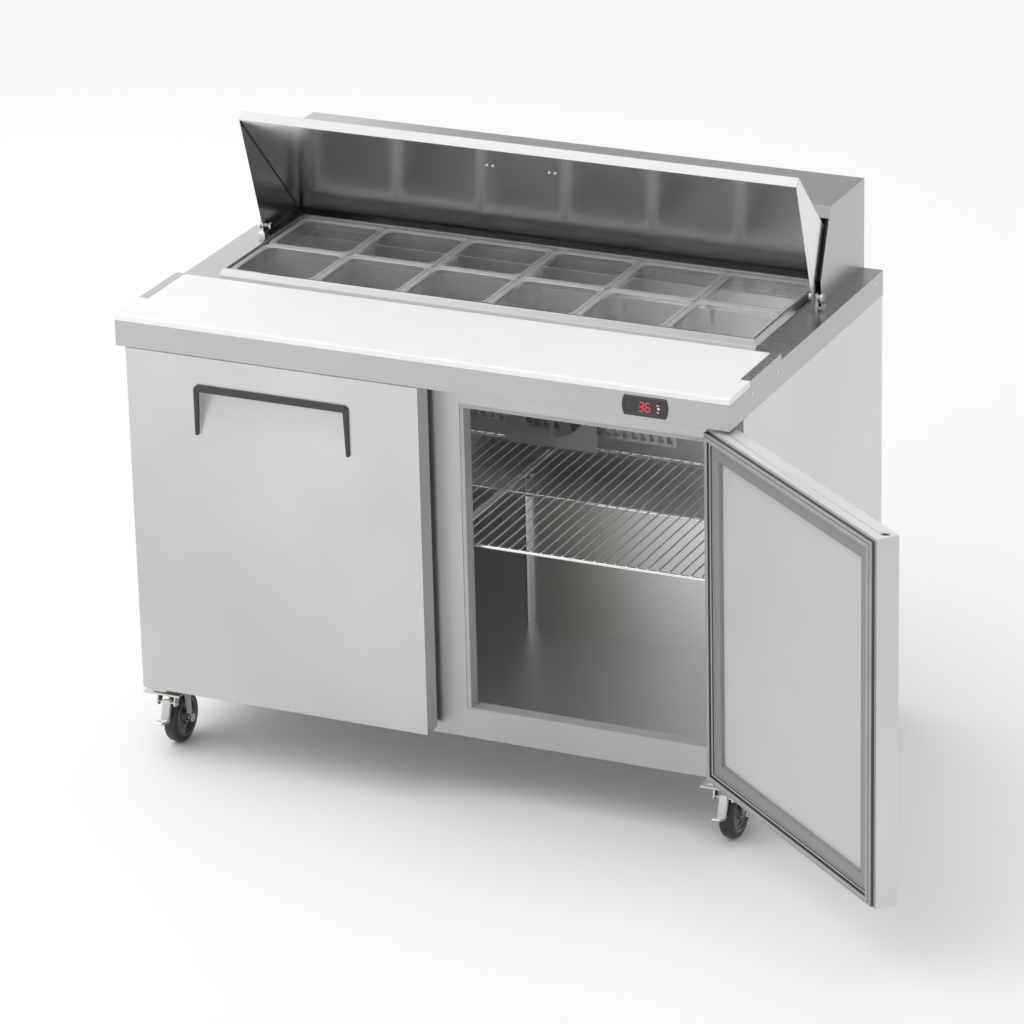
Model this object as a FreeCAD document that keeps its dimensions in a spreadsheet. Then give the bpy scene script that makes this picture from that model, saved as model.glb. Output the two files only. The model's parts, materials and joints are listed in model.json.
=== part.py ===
import FreeCAD, Part
import math
import os
import re
import Sketcher
from FreeCAD import Placement, Rotation, Vector

# Refrigerated sandwich prep table with two doors, on four casters.
# Frame: millimetres, +X to the right of someone at the counter, +Y to the back, +Z up.
# The origin is on the floor, under the middle of the counter's front edge.
# At rest the left door is shut, the right door stands open and the lid leans back.

doc = FreeCAD.newDocument("SandwichPrepTable")

# ---------------------------------------------------------------- driving sizes
SIZES = {
    # whole table
    "counter_width": 1224,
    "counter_depth": 760,
    "work_height": 888.4,
    "under_height": 127,
    "skin": 1.2,
    "apron_height": 49.8,
    "cabinet_setback": 68.2,
    # door openings and insulation
    "sill_height": 58,
    "header_height": 47.6,
    "mullion_width": 108,
    "jamb_width": 51,
    "breaker_depth": 30,
    "breaker_width": 8,
    "back_wall": 50,
    "ceiling_foam": 30,
    "liner_skin": 1,
    # machine compartment at the back, under the evaporator
    "machine_depth": 235,
    "machine_height": 300,
    # doors
    "door_thickness": 42.6,
    "door_skin": 1,
    "door_side_inset": 12.2,
    "door_centre_gap": 5.4,
    "door_bottom_gap": 17,
    "door_top_gap": 6.6,
    "door_open_angle": 141,
    "gasket_depth": 11.9,
    "gasket_gap": 0.3,
    "gasket_edge": 3,
    "gasket_width": 24,
    "gasket_shoulder": 10,
    "gasket_nose_inset": 8.4,
    "inner_panel_margin": 48,
    "inner_panel_depth": 6.2,
    "inner_panel_skin": 1.5,
    "hinge_inset": 14.8,
    "hinge_back": 18.6,
    "hinge_pin_radius": 5,
    "bush_radius": 9,
    "bush_length": 16,
    "running_gap": 0.05,
    # door handle
    "handle_width": 316,
    "handle_height": 99,
    "handle_drop": 54.4,
    "handle_bar": 13,
    "handle_leg_top": 10,
    "handle_leg_bottom": 6,
    "handle_proud": 5,
    "recess_depth": 26,
    # cutting board and its side strips
    "board_thickness": 12,
    "board_depth": 241,
    "board_shoulder": 96,
    "board_edge_radius": 5,
    "strip_width": 19,
    "strip_length": 150,
    "board_gap": 0.4,
    # food pans
    "pans_front": 300,
    "pan_pitch_wide": 178,
    "pan_pitch_deep": 163.5,
    "pan_gap": 1,
    "pan_depth": 100,
    "pan_wall": 2.5,
    "pan_rim": 9,
    "pan_rim_thickness": 4,
    "pan_corner": 18,
    "pan_floor_edge": 4,
    "pan_taper": 4,
    "pan_bar_width": 12,
    "pan_bar_height": 10,
    "pan_seat": 3.6,
    "rim_height": 12,
    "rim_top": 5,
    "rim_foot": 11.5,
    "ledge_width": 6,
    # hood
    "hood_side_inset": 38,
    "hood_rise": 176.6,
    "hood_front": 587,
    "hood_knee": 538,
    "hood_knee_rise": 45.6,
    "hood_foot": 541.5,
    "hood_lip_drop": 22,
    "seal_width": 20,
    # lid
    "lid_open_angle": 72,
    "pivot_back": 530.5,
    "pivot_rise": 18.6,
    "lid_reach": 259,
    "lid_low": 16.5,
    "lid_back_reach": 50,
    "lid_back_rise": 128.3,
    "lid_thickness": 20,
    "lid_bevel": 19,
    "wing_gap": 6.6,
    "wing_heel": 7,
    "pivot_pin_radius": 4,
    "pivot_pin_end": 7,
    "post_thickness": 3,
    "post_width": 16,
    "lid_handle_length": 127,
    "lid_handle_back": 62,
    "lid_handle_rise": 19,
    "lid_handle_radius": 5,
    # controller
    "control_width": 88,
    "control_height": 37,
    "control_right": 117,
    "control_drop": 6,
    "control_proud": 3,
    "control_body_depth": 28,
    "key_size": 8,
    "key_travel": 0.8,
    "key_gap": 0.3,
    # shelves
    "shelf_rise": 316,
    "shelf_front_gap": 36,
    "shelf_depth": 520,
    "shelf_side_gap": 5,
    "shelf_bar_radius": 3.5,
    "shelf_wire_radius": 1.6,
    "shelf_wires": 25,
    "clip_width": 14,
    # casters
    "caster_inset": 39,
    "caster_front": 78,
    "caster_back": 668,
    "caster_trail": 28,
    "wheel_radius": 50,
    "wheel_width": 30,
    "caster_plate_thickness": 4,
    "fork_gap": 1.5,
    "fork_wall": 3,
    "axle_radius": 5,
    "pedal_ahead": 22,
    "pedal_below": 24,
    "pedal_width": 16,
    "pedal_pin_radius": 3,
    # screws
    "screw_head": 1.18,
    "screw_gap": 0.02,
    "screw_radius": 3,
    # cooling parts
    "compressor_radius": 72,
    "compressor_height": 175,
    "condenser_fan_radius": 95,
    "evaporator_fan_radius": 70,
    "fan_shaft_radius": 4,
    "fan_hub_gap": 8,
    "fan_hub_length": 24,
}

# Heights and places that follow from the driving sizes.
PLACES = {
    "half_width": "counter_width / 2",
    "body_half": "half_width - skin",
    "apron_bottom": "work_height - apron_height",
    "deck_under": "work_height - skin",
    "face_back": "cabinet_setback + skin",
    "back_inside": "counter_depth - skin",
    # openings
    "opening_bottom": "under_height + sill_height",
    "opening_top": "apron_bottom - header_height",
    "opening_inner": "mullion_width / 2",
    "opening_outer": "body_half - jamb_width",
    "clear_inner": "opening_inner + breaker_width",
    "clear_outer": "opening_outer - breaker_width",
    "clear_bottom": "opening_bottom + 2",
    "clear_top": "opening_top - breaker_width",
    "breaker_back": "face_back + breaker_depth",
    # inside of the cabinet
    "ceiling": "deck_under - ceiling_foam",
    "liner_back": "counter_depth - back_wall",
    "machine_top": "under_height + machine_height",
    "machine_front": "counter_depth - machine_depth",
    "step_height": "machine_top + back_wall / 2",
    "step_front": "machine_front - back_wall",
    # doors
    "door_bottom": "under_height + door_bottom_gap",
    "door_top": "apron_bottom - door_top_gap",
    "door_front": "cabinet_setback - gasket_gap - gasket_depth - door_thickness",
    "hinge_at": "half_width - door_side_inset - hinge_inset",
    "hinge_line": "door_front + hinge_back",
    "door_reach": "hinge_at - door_centre_gap / 2",
    "door_width": "door_reach + hinge_inset",
    "door_back": "door_thickness - hinge_back",
    "handle_top": "door_top - handle_drop",
    "handle_bottom": "handle_top - handle_height",
    "handle_middle": "door_reach - door_width / 2",
    # pans
    "pan_top_seat": "work_height + pan_seat",
    "hole_half": "3 * pan_pitch_wide + pan_gap",
    "hole_back": "pans_front + 2 * pan_pitch_deep + 2 * pan_gap",
    "rim_crown": "work_height + rim_height",
    "row_one": "pans_front + pan_gap + pan_pitch_deep / 2",
    "row_two": "row_one + pan_pitch_deep",
    # hood and lid
    "hood_half": "half_width - hood_side_inset",
    "hood_top": "work_height + hood_rise",
    "hood_knee_height": "work_height + hood_knee_rise",
    "hood_slant": "(hood_front - hood_knee) / (hood_top - hood_knee_height)",
    "wing_half": "hood_half - skin - wing_gap",
    "pivot_height": "work_height + pivot_rise",
    "lid_run": "lid_reach + lid_back_reach",
    "lid_climb": "lid_low + lid_back_rise",
    "lid_slope": "atan(lid_climb / lid_run)",
    "lid_length": "sqrt(lid_run ^ 2 + lid_climb ^ 2)",
    "lid_corner_y": "pivot_back - lid_reach * cos(lid_open_angle) - lid_low * sin(lid_open_angle)",
    "lid_corner_z": "pivot_height + lid_reach * sin(lid_open_angle) - lid_low * cos(lid_open_angle)",
    "heel_s": "(lid_reach + wing_heel) * cos(lid_slope)",
    "heel_n": "-(lid_reach + wing_heel) * sin(lid_slope)",
    "eye_s": "lid_reach * cos(lid_slope) + lid_low * sin(lid_slope)",
    "eye_n": "lid_low * cos(lid_slope) - lid_reach * sin(lid_slope)",
    # shelves and casters
    "shelf_level": "opening_bottom + shelf_rise",
    "shelf_front": "cabinet_setback + shelf_front_gap",
    "shelf_inner": "shelf_side_gap",
    "shelf_outer": "opening_outer - shelf_side_gap",
    "caster_at": "half_width - caster_inset",
    "plate_under": "under_height - caster_plate_thickness",
}

sizes = doc.addObject("Spreadsheet::Sheet", "Sizes")
for row, (alias, value) in enumerate(SIZES.items(), start=1):
    sizes.set(f"A{row}", alias.replace("_", " "))
    sizes.set(f"B{row}", str(value))
    sizes.setAlias(f"B{row}", alias)

WORD = re.compile(r"[A-Za-z_][A-Za-z_0-9]*")


def formula(text):
    """Point every named size in a formula at the sheet that holds it."""
    def home(match):
        word = match.group(0)
        if word in SIZES:
            return f"Sizes.{word}"
        if word in PLACES:
            return f"Places.{word}"
        return word
    return WORD.sub(home, str(text))


places = doc.addObject("Spreadsheet::Sheet", "Places")
for row, (alias, text) in enumerate(PLACES.items(), start=1):
    places.set(f"A{row}", alias.replace("_", " "))
    places.set(f"B{row}", "=" + formula(text).replace("Places.", ""))
    places.setAlias(f"B{row}", alias)
doc.recompute()


def size(alias):
    """A named size as a plain number, for the shapes that are built in code."""
    value = (sizes if alias in SIZES else places).get(alias)
    return float(getattr(value, "Value", value))


# ---------------------------------------------------------------- ways of making a solid
nodes = []
RIGHT, LEFT = 1, -1


def bind(thing, **formulas):
    """Tie properties to formulas; a double underscore stands for a dot."""
    for name, text in formulas.items():
        thing.setExpression(name.replace("__", "."), formula(text))
    return thing


def place(thing, x=0, y=0, z=0):
    return bind(thing, Placement__Base__x=x, Placement__Base__y=y, Placement__Base__z=z)


def block(x, y, z, label="block"):
    """A box from one (low, high) pair of formulas along each axis."""
    box = doc.addObject("Part::Box", label)
    bind(box, Length=f"({x[1]}) - ({x[0]})", Width=f"({y[1]}) - ({y[0]})", Height=f"({z[1]}) - ({z[0]})")
    return place(box, x[0], y[0], z[0])


ALONG = {
    "x": Rotation(Vector(0, 1, 0), 90),
    "y": Rotation(Vector(1, 0, 0), -90),
    "z": Rotation(),
}


def rod(axis, start, length, radius, label="rod"):
    """A round bar that leaves the point start along +x, +y or +z."""
    bar = doc.addObject("Part::Cylinder", label)
    bar.Placement = Placement(Vector(), ALONG[axis])
    bind(bar, Radius=radius, Height=length)
    return place(bar, *start)


def joined(parts, label="joined"):
    fuse = doc.addObject("Part::MultiFuse", label)
    fuse.Shapes = parts
    return fuse


def together(parts, label="together"):
    """Separate solids kept in one object."""
    pack = doc.addObject("Part::Compound", label)
    pack.Links = parts
    return pack


def less(base, tools, label="less"):
    cut = doc.addObject("Part::Cut", label)
    cut.Base = base
    cut.Tool = tools[0] if len(tools) == 1 else together(tools)
    return cut


def origin_plane(body, role):
    return [plane for plane in body.Origin.OriginFeatures if plane.Role == role][0]


def outline(body, role, corners):
    """A closed sketch through corners, each corner tied to its two formulas."""
    sketch = body.newObject("Sketcher::SketchObject", "outline")
    sketch.AttachmentSupport = [(origin_plane(body, role), "")]
    sketch.MapMode = "FlatFace"
    count = len(corners)
    turns = [2 * math.pi * step / count for step in range(count)]
    rough = [Vector(100 * math.cos(turn), 100 * math.sin(turn), 0) for turn in turns]
    for step in range(count):
        sketch.addGeometry(Part.LineSegment(rough[step], rough[(step + 1) % count]), False)
    for step in range(count):
        sketch.addConstraint(Sketcher.Constraint("Coincident", step, 2, (step + 1) % count, 1))
    for step, corner in enumerate(corners):
        for kind, text, value in zip(("DistanceX", "DistanceY"), corner, rough[step]):
            index = sketch.addConstraint(Sketcher.Constraint(kind, -1, 1, step, 1, value))
            sketch.setExpression(f"Constraints[{index}]", formula(text))
    return sketch


def prism(role, corners, length, label="prism"):
    """A PartDesign body padded from an outline: YZ_Plane along +X, XY_Plane along +Z, XZ_Plane along -Y."""
    body = doc.addObject("PartDesign::Body", label)
    pad = body.newObject("PartDesign::Pad", "pad")
    pad.Profile = outline(body, role, corners)
    bind(pad, Length=length)
    return body


def turned(corners, label="turned"):
    """A PartDesign body turned about the Y axis of its XY sketch: (radius, height) corners."""
    body = doc.addObject("PartDesign::Body", label)
    spin = body.newObject("PartDesign::Revolution", "revolution")
    spin.Profile = outline(body, "XY_Plane", corners)
    spin.ReferenceAxis = (spin.Profile[0], ["V_Axis"])
    spin.Angle = 360
    return body


def node(thing, name):
    thing.Label = name
    nodes.append(thing)
    return thing


def coded(shape, label="coded"):
    feature = doc.addObject("Part::Feature", label)
    feature.Shape = shape
    return feature


def mirrored(low, high, side):
    """An X span measured outwards from a centre line, laid to the given side."""
    return (low, high) if side == RIGHT else (f"-({high})", f"-({low})")


# ---------------------------------------------------------------- cabinet shell
# The wrap is one bent sheet: both sides and the upper back.
wrap_sides = [
    block(mirrored("body_half - skin", "body_half", side), ("cabinet_setback", "counter_depth"),
          ("under_height", "deck_under"))
    for side in (LEFT, RIGHT)
]
wrap_back = block(
    ("-body_half", "body_half"), ("back_inside", "counter_depth"), ("machine_top", "deck_under")
)
node(joined(wrap_sides + [wrap_back]), "outer_wrap")

base = block(("-body_half + skin", "body_half - skin"), ("face_back", "back_inside"),
             ("under_height", "under_height + skin"))
node(base, "base_panel")

face = block(("-body_half + skin", "body_half - skin"), ("cabinet_setback", "face_back"),
             ("under_height", "apron_bottom"))
door_holes = [
    block(mirrored("opening_inner", "opening_outer", side), ("cabinet_setback - 1", "face_back + 1"),
          ("opening_bottom", "opening_top"))
    for side in (LEFT, RIGHT)
]
node(less(face, door_holes), "front_frame")

# Plastic thermal breaks line each opening between the cold liner and the front frame.
breakers = []
for side in (LEFT, RIGHT):
    ring = block(mirrored("opening_inner", "opening_outer", side), ("face_back", "breaker_back"),
                 ("opening_bottom - skin", "opening_top"))
    gap = block(mirrored("clear_inner", "clear_outer", side), ("face_back - 1", "breaker_back + 1"),
                ("clear_bottom", "clear_top"))
    breakers.append(less(ring, [gap]))
node(together(breakers), "breaker_strips")

# The liner is an open-fronted steel tub, stepped up over the machine compartment.
def stepped(grow, front, mouth, collar):
    """The inside space of the cabinet, grown by a wall, with the pan throat grown by a collar."""
    upper = block((f"-opening_outer - ({grow})", f"opening_outer + ({grow})"),
                  (front, f"liner_back + ({grow})"), (f"step_height - ({grow})", f"ceiling + ({grow})"))
    lower = block((f"-opening_outer - ({grow})", f"opening_outer + ({grow})"),
                  (front, f"step_front + ({grow})"), (f"opening_bottom - ({grow})", "step_height + 5"))
    throat = block((f"-hole_half - {collar}", f"hole_half + {collar}"),
                   (f"pans_front - {collar}", f"hole_back + {collar}"), ("ceiling - 5", mouth))
    return joined([upper, lower, throat])


node(less(stepped("liner_skin", "breaker_back", "ceiling + liner_skin", "0"),
          [stepped("0", "breaker_back - 5", "work_height", "0")]), "inner_liner")

foam_block = block(("-body_half + skin", "body_half - skin"), ("face_back", "back_inside"),
                   ("under_height + skin", "deck_under"))
machine_space = block(("-body_half", "body_half"), ("machine_front", "counter_depth"),
                      ("under_height", "machine_top"))
mouth_space = [
    block(mirrored("opening_inner", "opening_outer", side), ("cabinet_setback", "breaker_back + 1"),
          ("opening_bottom - skin", "opening_top"))
    for side in (LEFT, RIGHT)
]
control_space = block(("half_width - control_right - control_width - 20", "half_width - control_right + 20"),
                      ("0", "control_body_depth + 45"), ("apron_bottom", "deck_under"))
node(less(foam_block, [stepped("liner_skin", "breaker_back", "work_height", "skin"), machine_space,
                       control_space] + mouth_space), "cabinet_foam")

# ---------------------------------------------------------------- counter
deck = block(("-half_width", "half_width"), ("0", "counter_depth"), ("deck_under", "work_height"))
apron = block(("-half_width", "half_width"), ("0", "skin"), ("apron_bottom", "work_height"))
apron_return = block(("-half_width", "half_width"), ("0", "cabinet_setback"),
                     ("apron_bottom", "apron_bottom + skin"))
flanges = [
    block(mirrored("half_width - skin", "half_width", side), ("0", "counter_depth"),
          ("apron_bottom", "work_height"))
    for side in (LEFT, RIGHT)
]
strips = [
    block(mirrored("half_width - strip_width", "half_width", side),
          ("board_shoulder + board_gap", "board_shoulder + strip_length"),
          ("deck_under", "work_height + board_thickness"))
    for side in (LEFT, RIGHT)
]


def raised_rim():
    """The sloped collar pressed up round the pan opening."""
    collar = doc.addObject("Part::Wedge", "collar")
    collar.Placement = Placement(Vector(), Rotation(Vector(1, 0, 0), 90))
    foot, top = "(hole_half + rim_foot)", "(hole_half + rim_top)"
    bind(collar, Xmin=f"-{foot}", Xmax=foot, X2min=f"-{top}", X2max=top, Ymin=0, Ymax="rim_height + skin",
         Zmin="-(hole_back + rim_foot)", Zmax="-(pans_front - rim_foot)",
         Z2min="-(hole_back + rim_top)", Z2max="-(pans_front - rim_top)")
    return place(collar, z="deck_under")


pan_hole = block(("-hole_half", "hole_half"), ("pans_front", "hole_back"), ("ceiling", "rim_crown + 1"))
control_hole_x = ("half_width - control_right - control_width + 4", "half_width - control_right - 4")
control_hole_z = ("work_height - control_drop - control_height + 4", "work_height - control_drop - 4")
control_hole = block(control_hole_x, ("-1", "skin + 1"), control_hole_z)
skirt = less(block(("-hole_half - skin", "hole_half + skin"), ("pans_front - skin", "hole_back + skin"),
                   ("ceiling + liner_skin", "work_height")),
             [block(("-hole_half", "hole_half"), ("pans_front", "hole_back"), ("ceiling", "rim_crown"))])
ledge = less(block(("-hole_half - skin", "hole_half + skin"), ("pans_front - skin", "hole_back + skin"),
                   ("pan_top_seat - skin", "pan_top_seat")),
             [block(("-hole_half + ledge_width", "hole_half - ledge_width"),
                    ("pans_front + ledge_width", "hole_back - ledge_width"),
                    ("work_height", "rim_crown + 1"))])
folded = joined([deck, apron, apron_return, raised_rim()] + flanges + strips)
counter_sheet = less(folded, [pan_hole, control_hole])
node(joined([counter_sheet, skirt, ledge]), "worktop")

# Removable bars between the pans: one long bar across, and short ones hooked onto it
# from the front and from the back.
bar_z = ("pan_top_seat - pan_bar_height", "pan_top_seat")
half_bar = "pan_bar_width / 2"
rows_middle = "(row_one + row_two) / 2"
cross_y = (f"{rows_middle} - {half_bar}", f"{rows_middle} + {half_bar}")
bars = [block(("-hole_half + ledge_width", "hole_half - ledge_width"), cross_y, bar_z)]
for column in range(-2, 3):
    bar_x = (f"{column} * pan_pitch_wide - {half_bar}", f"{column} * pan_pitch_wide + {half_bar}")
    bars.append(block(bar_x, ("pans_front + ledge_width", f"{cross_y[0]} - running_gap"), bar_z))
    bars.append(block(bar_x, (f"{cross_y[1]} + running_gap", "hole_back - ledge_width"), bar_z))
node(together(bars), "pan_rails")

# ---------------------------------------------------------------- cutting board
board_body = prism("XY_Plane", [
    ("-half_width", "0"), ("half_width", "0"), ("half_width", "board_shoulder"),
    ("half_width - strip_width - board_gap", "board_shoulder"),
    ("half_width - strip_width - board_gap", "board_depth"),
    ("-half_width + strip_width + board_gap", "board_depth"),
    ("-half_width + strip_width + board_gap", "board_shoulder"), ("-half_width", "board_shoulder"),
], "board_thickness")
place(board_body, z="work_height")
doc.recompute()
board_pad = board_body.Tip
front_edges = [
    f"Edge{index}" for index, edge in enumerate(board_pad.Shape.Edges, start=1)
    if abs(edge.CenterOfMass.y) < 0.01 and abs(edge.CenterOfMass.z - size("board_thickness")) < 0.01
]
soften = board_body.newObject("PartDesign::Fillet", "front_round")
soften.Base = (board_pad, front_edges)
bind(soften, Radius="board_edge_radius")
node(board_body, "cutting_board")


# ---------------------------------------------------------------- pans
def tub(shrink, radius, edge, floor):
    """A tapered pad, drawn downwards, with round corners and a rounded bottom."""
    half_w = f"(pan_pitch_wide - pan_gap) / 2 - pan_rim - ({shrink})"
    half_d = f"(pan_pitch_deep - pan_gap) / 2 - pan_rim - ({shrink})"
    body = prism("XY_Plane", [
        (f"-({half_w})", f"-({half_d})"), (half_w, f"-({half_d})"), (half_w, half_d),
        (f"-({half_w})", half_d),
    ], floor, "tub")
    taper = body.Tip
    taper.Reversed = True
    bind(taper, TaperAngle="-pan_taper")
    doc.recompute()
    slanted = [
        f"Edge{index}" for index, edge in enumerate(taper.Shape.Edges, start=1)
        if abs(edge.Vertexes[0].Z - edge.Vertexes[-1].Z) > size("pan_depth") / 2
    ]
    corners = body.newObject("PartDesign::Fillet", "corners")
    corners.Base = (taper, slanted)
    bind(corners, Radius=radius)
    doc.recompute()
    depth = min(vertex.Z for vertex in corners.Shape.Vertexes)
    low = [
        f"Edge{index}" for index, edge in enumerate(corners.Shape.Edges, start=1)
        if max(vertex.Z for vertex in edge.Vertexes) < depth + 0.1
    ]
    bottom = body.newObject("PartDesign::Fillet", "bottom_round")
    bottom.Base = (corners, low)
    bind(bottom, Radius=edge)
    return body


def food_pan(column, row):
    """One sixth-size pan: a round-cornered tub hollowed by a smaller one, under a flat rim."""
    at = (f"({column}) * pan_pitch_wide", f"row_{row}")
    half_w, half_d = "(pan_pitch_wide - pan_gap) / 2", "(pan_pitch_deep - pan_gap) / 2"
    rim = block((f"{at[0]} - {half_w}", f"{at[0]} + {half_w}"), (f"{at[1]} - {half_d}", f"{at[1]} + {half_d}"),
                ("pan_top_seat", "pan_top_seat + pan_rim_thickness"))
    outside = place(tub("0", "pan_corner", "pan_floor_edge", "pan_depth"), *at, "pan_top_seat")
    hollow = tub("pan_wall", "pan_corner - pan_wall", "pan_floor_edge / 2",
                 "pan_depth + pan_rim_thickness - pan_wall")
    inside = place(hollow, *at, "pan_top_seat + pan_rim_thickness")
    return less(joined([outside, rim]), [inside])


for number in range(6):
    column = number - 2.5
    node(together([food_pan(column, "one"), food_pan(column, "two")]), f"food_pans_{number + 1}")

# ---------------------------------------------------------------- hood
hood_side_corners = [
    ("hood_front", "hood_top"), ("hood_knee", "hood_knee_height"), ("hood_foot", "work_height"),
    ("counter_depth", "work_height"), ("counter_depth", "hood_top"),
]
hood_sides = []
for side in (LEFT, RIGHT):
    cheek = prism("YZ_Plane", hood_side_corners, "skin")
    hood_sides.append(place(cheek, x=mirrored("hood_half - skin", "hood_half", side)[0]))
hood_roof = block(
    ("-hood_half", "hood_half"), ("hood_front", "counter_depth"), ("hood_top - skin", "hood_top")
)
hood_back = block(
    ("-hood_half", "hood_half"), ("back_inside", "counter_depth"), ("work_height", "hood_top")
)
lip = prism("YZ_Plane", [
    ("hood_front", "hood_top"), ("hood_front - hood_slant * hood_lip_drop", "hood_top - hood_lip_drop"),
    ("hood_front - hood_slant * hood_lip_drop + skin", "hood_top - hood_lip_drop"),
    ("hood_front + skin * 1.3", "hood_top - skin / 2"), ("hood_front + skin * 1.3", "hood_top"),
], "2 * hood_half")
place(lip, x="-hood_half")
node(joined(hood_sides + [hood_roof, hood_back, lip]), "rear_hood")

# Rubber strips close the slot between the lid's wings and the hood's sides.
seal_top = "hood_top - hood_lip_drop - 2"
seal_line = "hood_knee + 1.5"
seals = []
for side in (LEFT, RIGHT):
    strip = prism("YZ_Plane", [
        (f"{seal_line} + hood_slant * ({seal_top} - hood_knee_height)", seal_top),
        (f"{seal_line} + hood_slant * ({seal_top} - hood_knee_height) + seal_width", seal_top),
        (f"{seal_line} + seal_width / 4", "hood_knee_height"), (seal_line, "hood_knee_height"),
    ], "wing_gap - 0.8")
    seals.append(place(strip, x=mirrored("wing_half + 0.8", "hood_half - skin", side)[0]))
node(together(seals), "hood_seals")

# ---------------------------------------------------------------- lid pivots
posts = []
for side in (LEFT, RIGHT):
    inner = "wing_half + 1"
    y_span = ("pivot_back - post_width / 2", "pivot_back + post_width / 2")
    upright = block(mirrored(inner, f"{inner} + post_thickness", side), y_span,
                    ("work_height", "pivot_height + post_width / 2"))
    foot = block(
        mirrored(inner, f"{inner} + post_width", side), y_span, ("work_height", "work_height + 2.5")
    )
    pin_from = "wing_half - skin - pivot_pin_end"
    thumb_from = f"{inner} + post_thickness + pivot_pin_end"

    def pivot_rod(low, length, radius):
        x = mirrored(low, f"{low} + {length}", side)[0]
        return rod("x", (x, "pivot_back", "pivot_height"), length, radius)

    pin = pivot_rod(pin_from, f"{thumb_from} + 3 - ({pin_from})", "pivot_pin_radius")
    inner_head = pivot_rod(f"{pin_from} - 3", "3", "pivot_pin_radius + 3")
    thumb_head = pivot_rod(thumb_from, "5", "pivot_pin_radius + 4")
    posts.append(joined([upright, foot, pin, inner_head, thumb_head]))
node(together(posts), "lid_pivot_posts")


# ---------------------------------------------------------------- lid
# Lid pieces are drawn flat, s along the panel from its front lip and n out of its face,
# then tipped to the angle at which the open lid leans.
def lean(thing):
    """Stand a flat-drawn lid piece in the open lid's place."""
    thing.Placement = Placement(Vector(), Rotation(Vector(1, 0, 0), 45))
    return bind(thing, Placement__Rotation__Angle="lid_slope - lid_open_angle * 1 deg",
                Placement__Base__y="lid_corner_y", Placement__Base__z="lid_corner_z")


def lid_prism(corners, low, high):
    body = prism("YZ_Plane", corners, f"({high}) - ({low})")
    return place(body, x=low)


lid_top = "lid_thickness"
bevel = "lid_length - lid_bevel"
outer_shell = lid_prism([
    ("0", "0"), ("0", lid_top), (bevel, lid_top), (bevel, f"{lid_top} - skin"),
    ("skin", f"{lid_top} - skin"),
    ("skin", "0"),
], "-wing_half", "wing_half")
node(lean(together([outer_shell])), "lid_outer_skin")

lining = lid_prism([
    ("skin", "0"), ("lid_length", "0"), (bevel, f"{lid_top} - skin"), (f"{bevel} - 2", f"{lid_top} - skin"),
    ("lid_length - 4", "skin"), ("skin", "skin"),
], "-wing_half", "wing_half")
wings = []
for side in (LEFT, RIGHT):
    low, high = mirrored("wing_half - skin", "wing_half", side)
    wings.append(lid_prism([
        ("skin", "0"), ("heel_s", "heel_n"), ("lid_length", "0"), (bevel, f"{lid_top} - skin"),
        ("skin", f"{lid_top} - skin"),
    ], low, high))
eyes = rod(
    "x", ("-wing_half - 5", "eye_s", "eye_n"), "2 * wing_half + 10", "pivot_pin_radius + running_gap"
)
node(lean(less(joined([lining] + wings), [eyes])), "lid_inner_skin")

core = lid_prism([
    ("skin", "skin"), ("skin", f"{lid_top} - skin"), (f"{bevel} - 2", f"{lid_top} - skin"),
    ("lid_length - 4", "skin"),
], "-wing_half + skin", "wing_half - skin")
node(lean(together([core])), "lid_foam")

legs = [
    rod("z", (f"({side}) * lid_handle_length / 2", "lid_handle_back", lid_top), "lid_handle_rise",
        "lid_handle_radius")
    for side in (LEFT, RIGHT)
]
grip = rod("x", ("-lid_handle_length / 2 - 8", "lid_handle_back", f"{lid_top} + lid_handle_rise"),
           "lid_handle_length + 16", "lid_handle_radius + 1")
node(lean(joined(legs + [grip])), "lid_handle")


# ---------------------------------------------------------------- doors
def hang(thing, side):
    """Put a door piece, drawn about its hinge line, on its hinge at its rest angle."""
    thing.Placement = Placement(Vector(), Rotation(Vector(0, 0, 1), 45))
    return bind(thing, Placement__Base__x=f"({side}) * hinge_at", Placement__Base__y="hinge_line",
                Placement__Rotation__Angle="door_open_angle" if side == RIGHT else "0")


def door_span(low, high, side):
    """An X span measured from the hinge line towards the door's free edge."""
    return mirrored(low, high, -side)


def door_block(x, y, z, side):
    return block(door_span(x[0], x[1], side), y, z)


def bush_holes(side, radius, extra):
    """Bores at all four corners, because the door hangs from either side."""
    holes = []
    for reach in ("0", "door_reach - hinge_inset"):
        x = reach if side == LEFT else f"-({reach})"
        holes.append(rod("z", (x, "0", "door_bottom - 1"), f"bush_length + 1 + {extra}", radius))
        holes.append(rod("z", (x, "0", f"door_top - bush_length - {extra}"), f"bush_length + 1 + {extra}",
                         radius))
    return holes


def scoop(grow, side):
    """The handle's scooped recess, deepest at its top, as a solid grown by a wall."""
    face = "-hinge_back - 5"
    shift = "handle_middle"
    low = f"{shift} - handle_width / 2 + handle_leg_top - ({grow})"
    high = f"{shift} + handle_width / 2 - handle_leg_top + ({grow})"
    x_low = door_span(low, high, side)[0]
    wedge = prism("YZ_Plane", [
        ("-hinge_back", f"handle_bottom - 2 * ({grow})"), (face, f"handle_bottom - 2 * ({grow})"),
        (face, f"handle_top - handle_bar + ({grow})"),
        (f"recess_depth - hinge_back + ({grow})", f"handle_top - handle_bar + ({grow})"),
    ] if grow == "0" else [
        ("-hinge_back", f"handle_bottom - 2 * ({grow})"),
        ("-hinge_back", f"handle_top - handle_bar + ({grow})"),
        (f"recess_depth - hinge_back + ({grow})", f"handle_top - handle_bar + ({grow})"),
    ], f"handle_width - 2 * handle_leg_top + 2 * ({grow})")
    return place(wedge, x=x_low)


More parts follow.
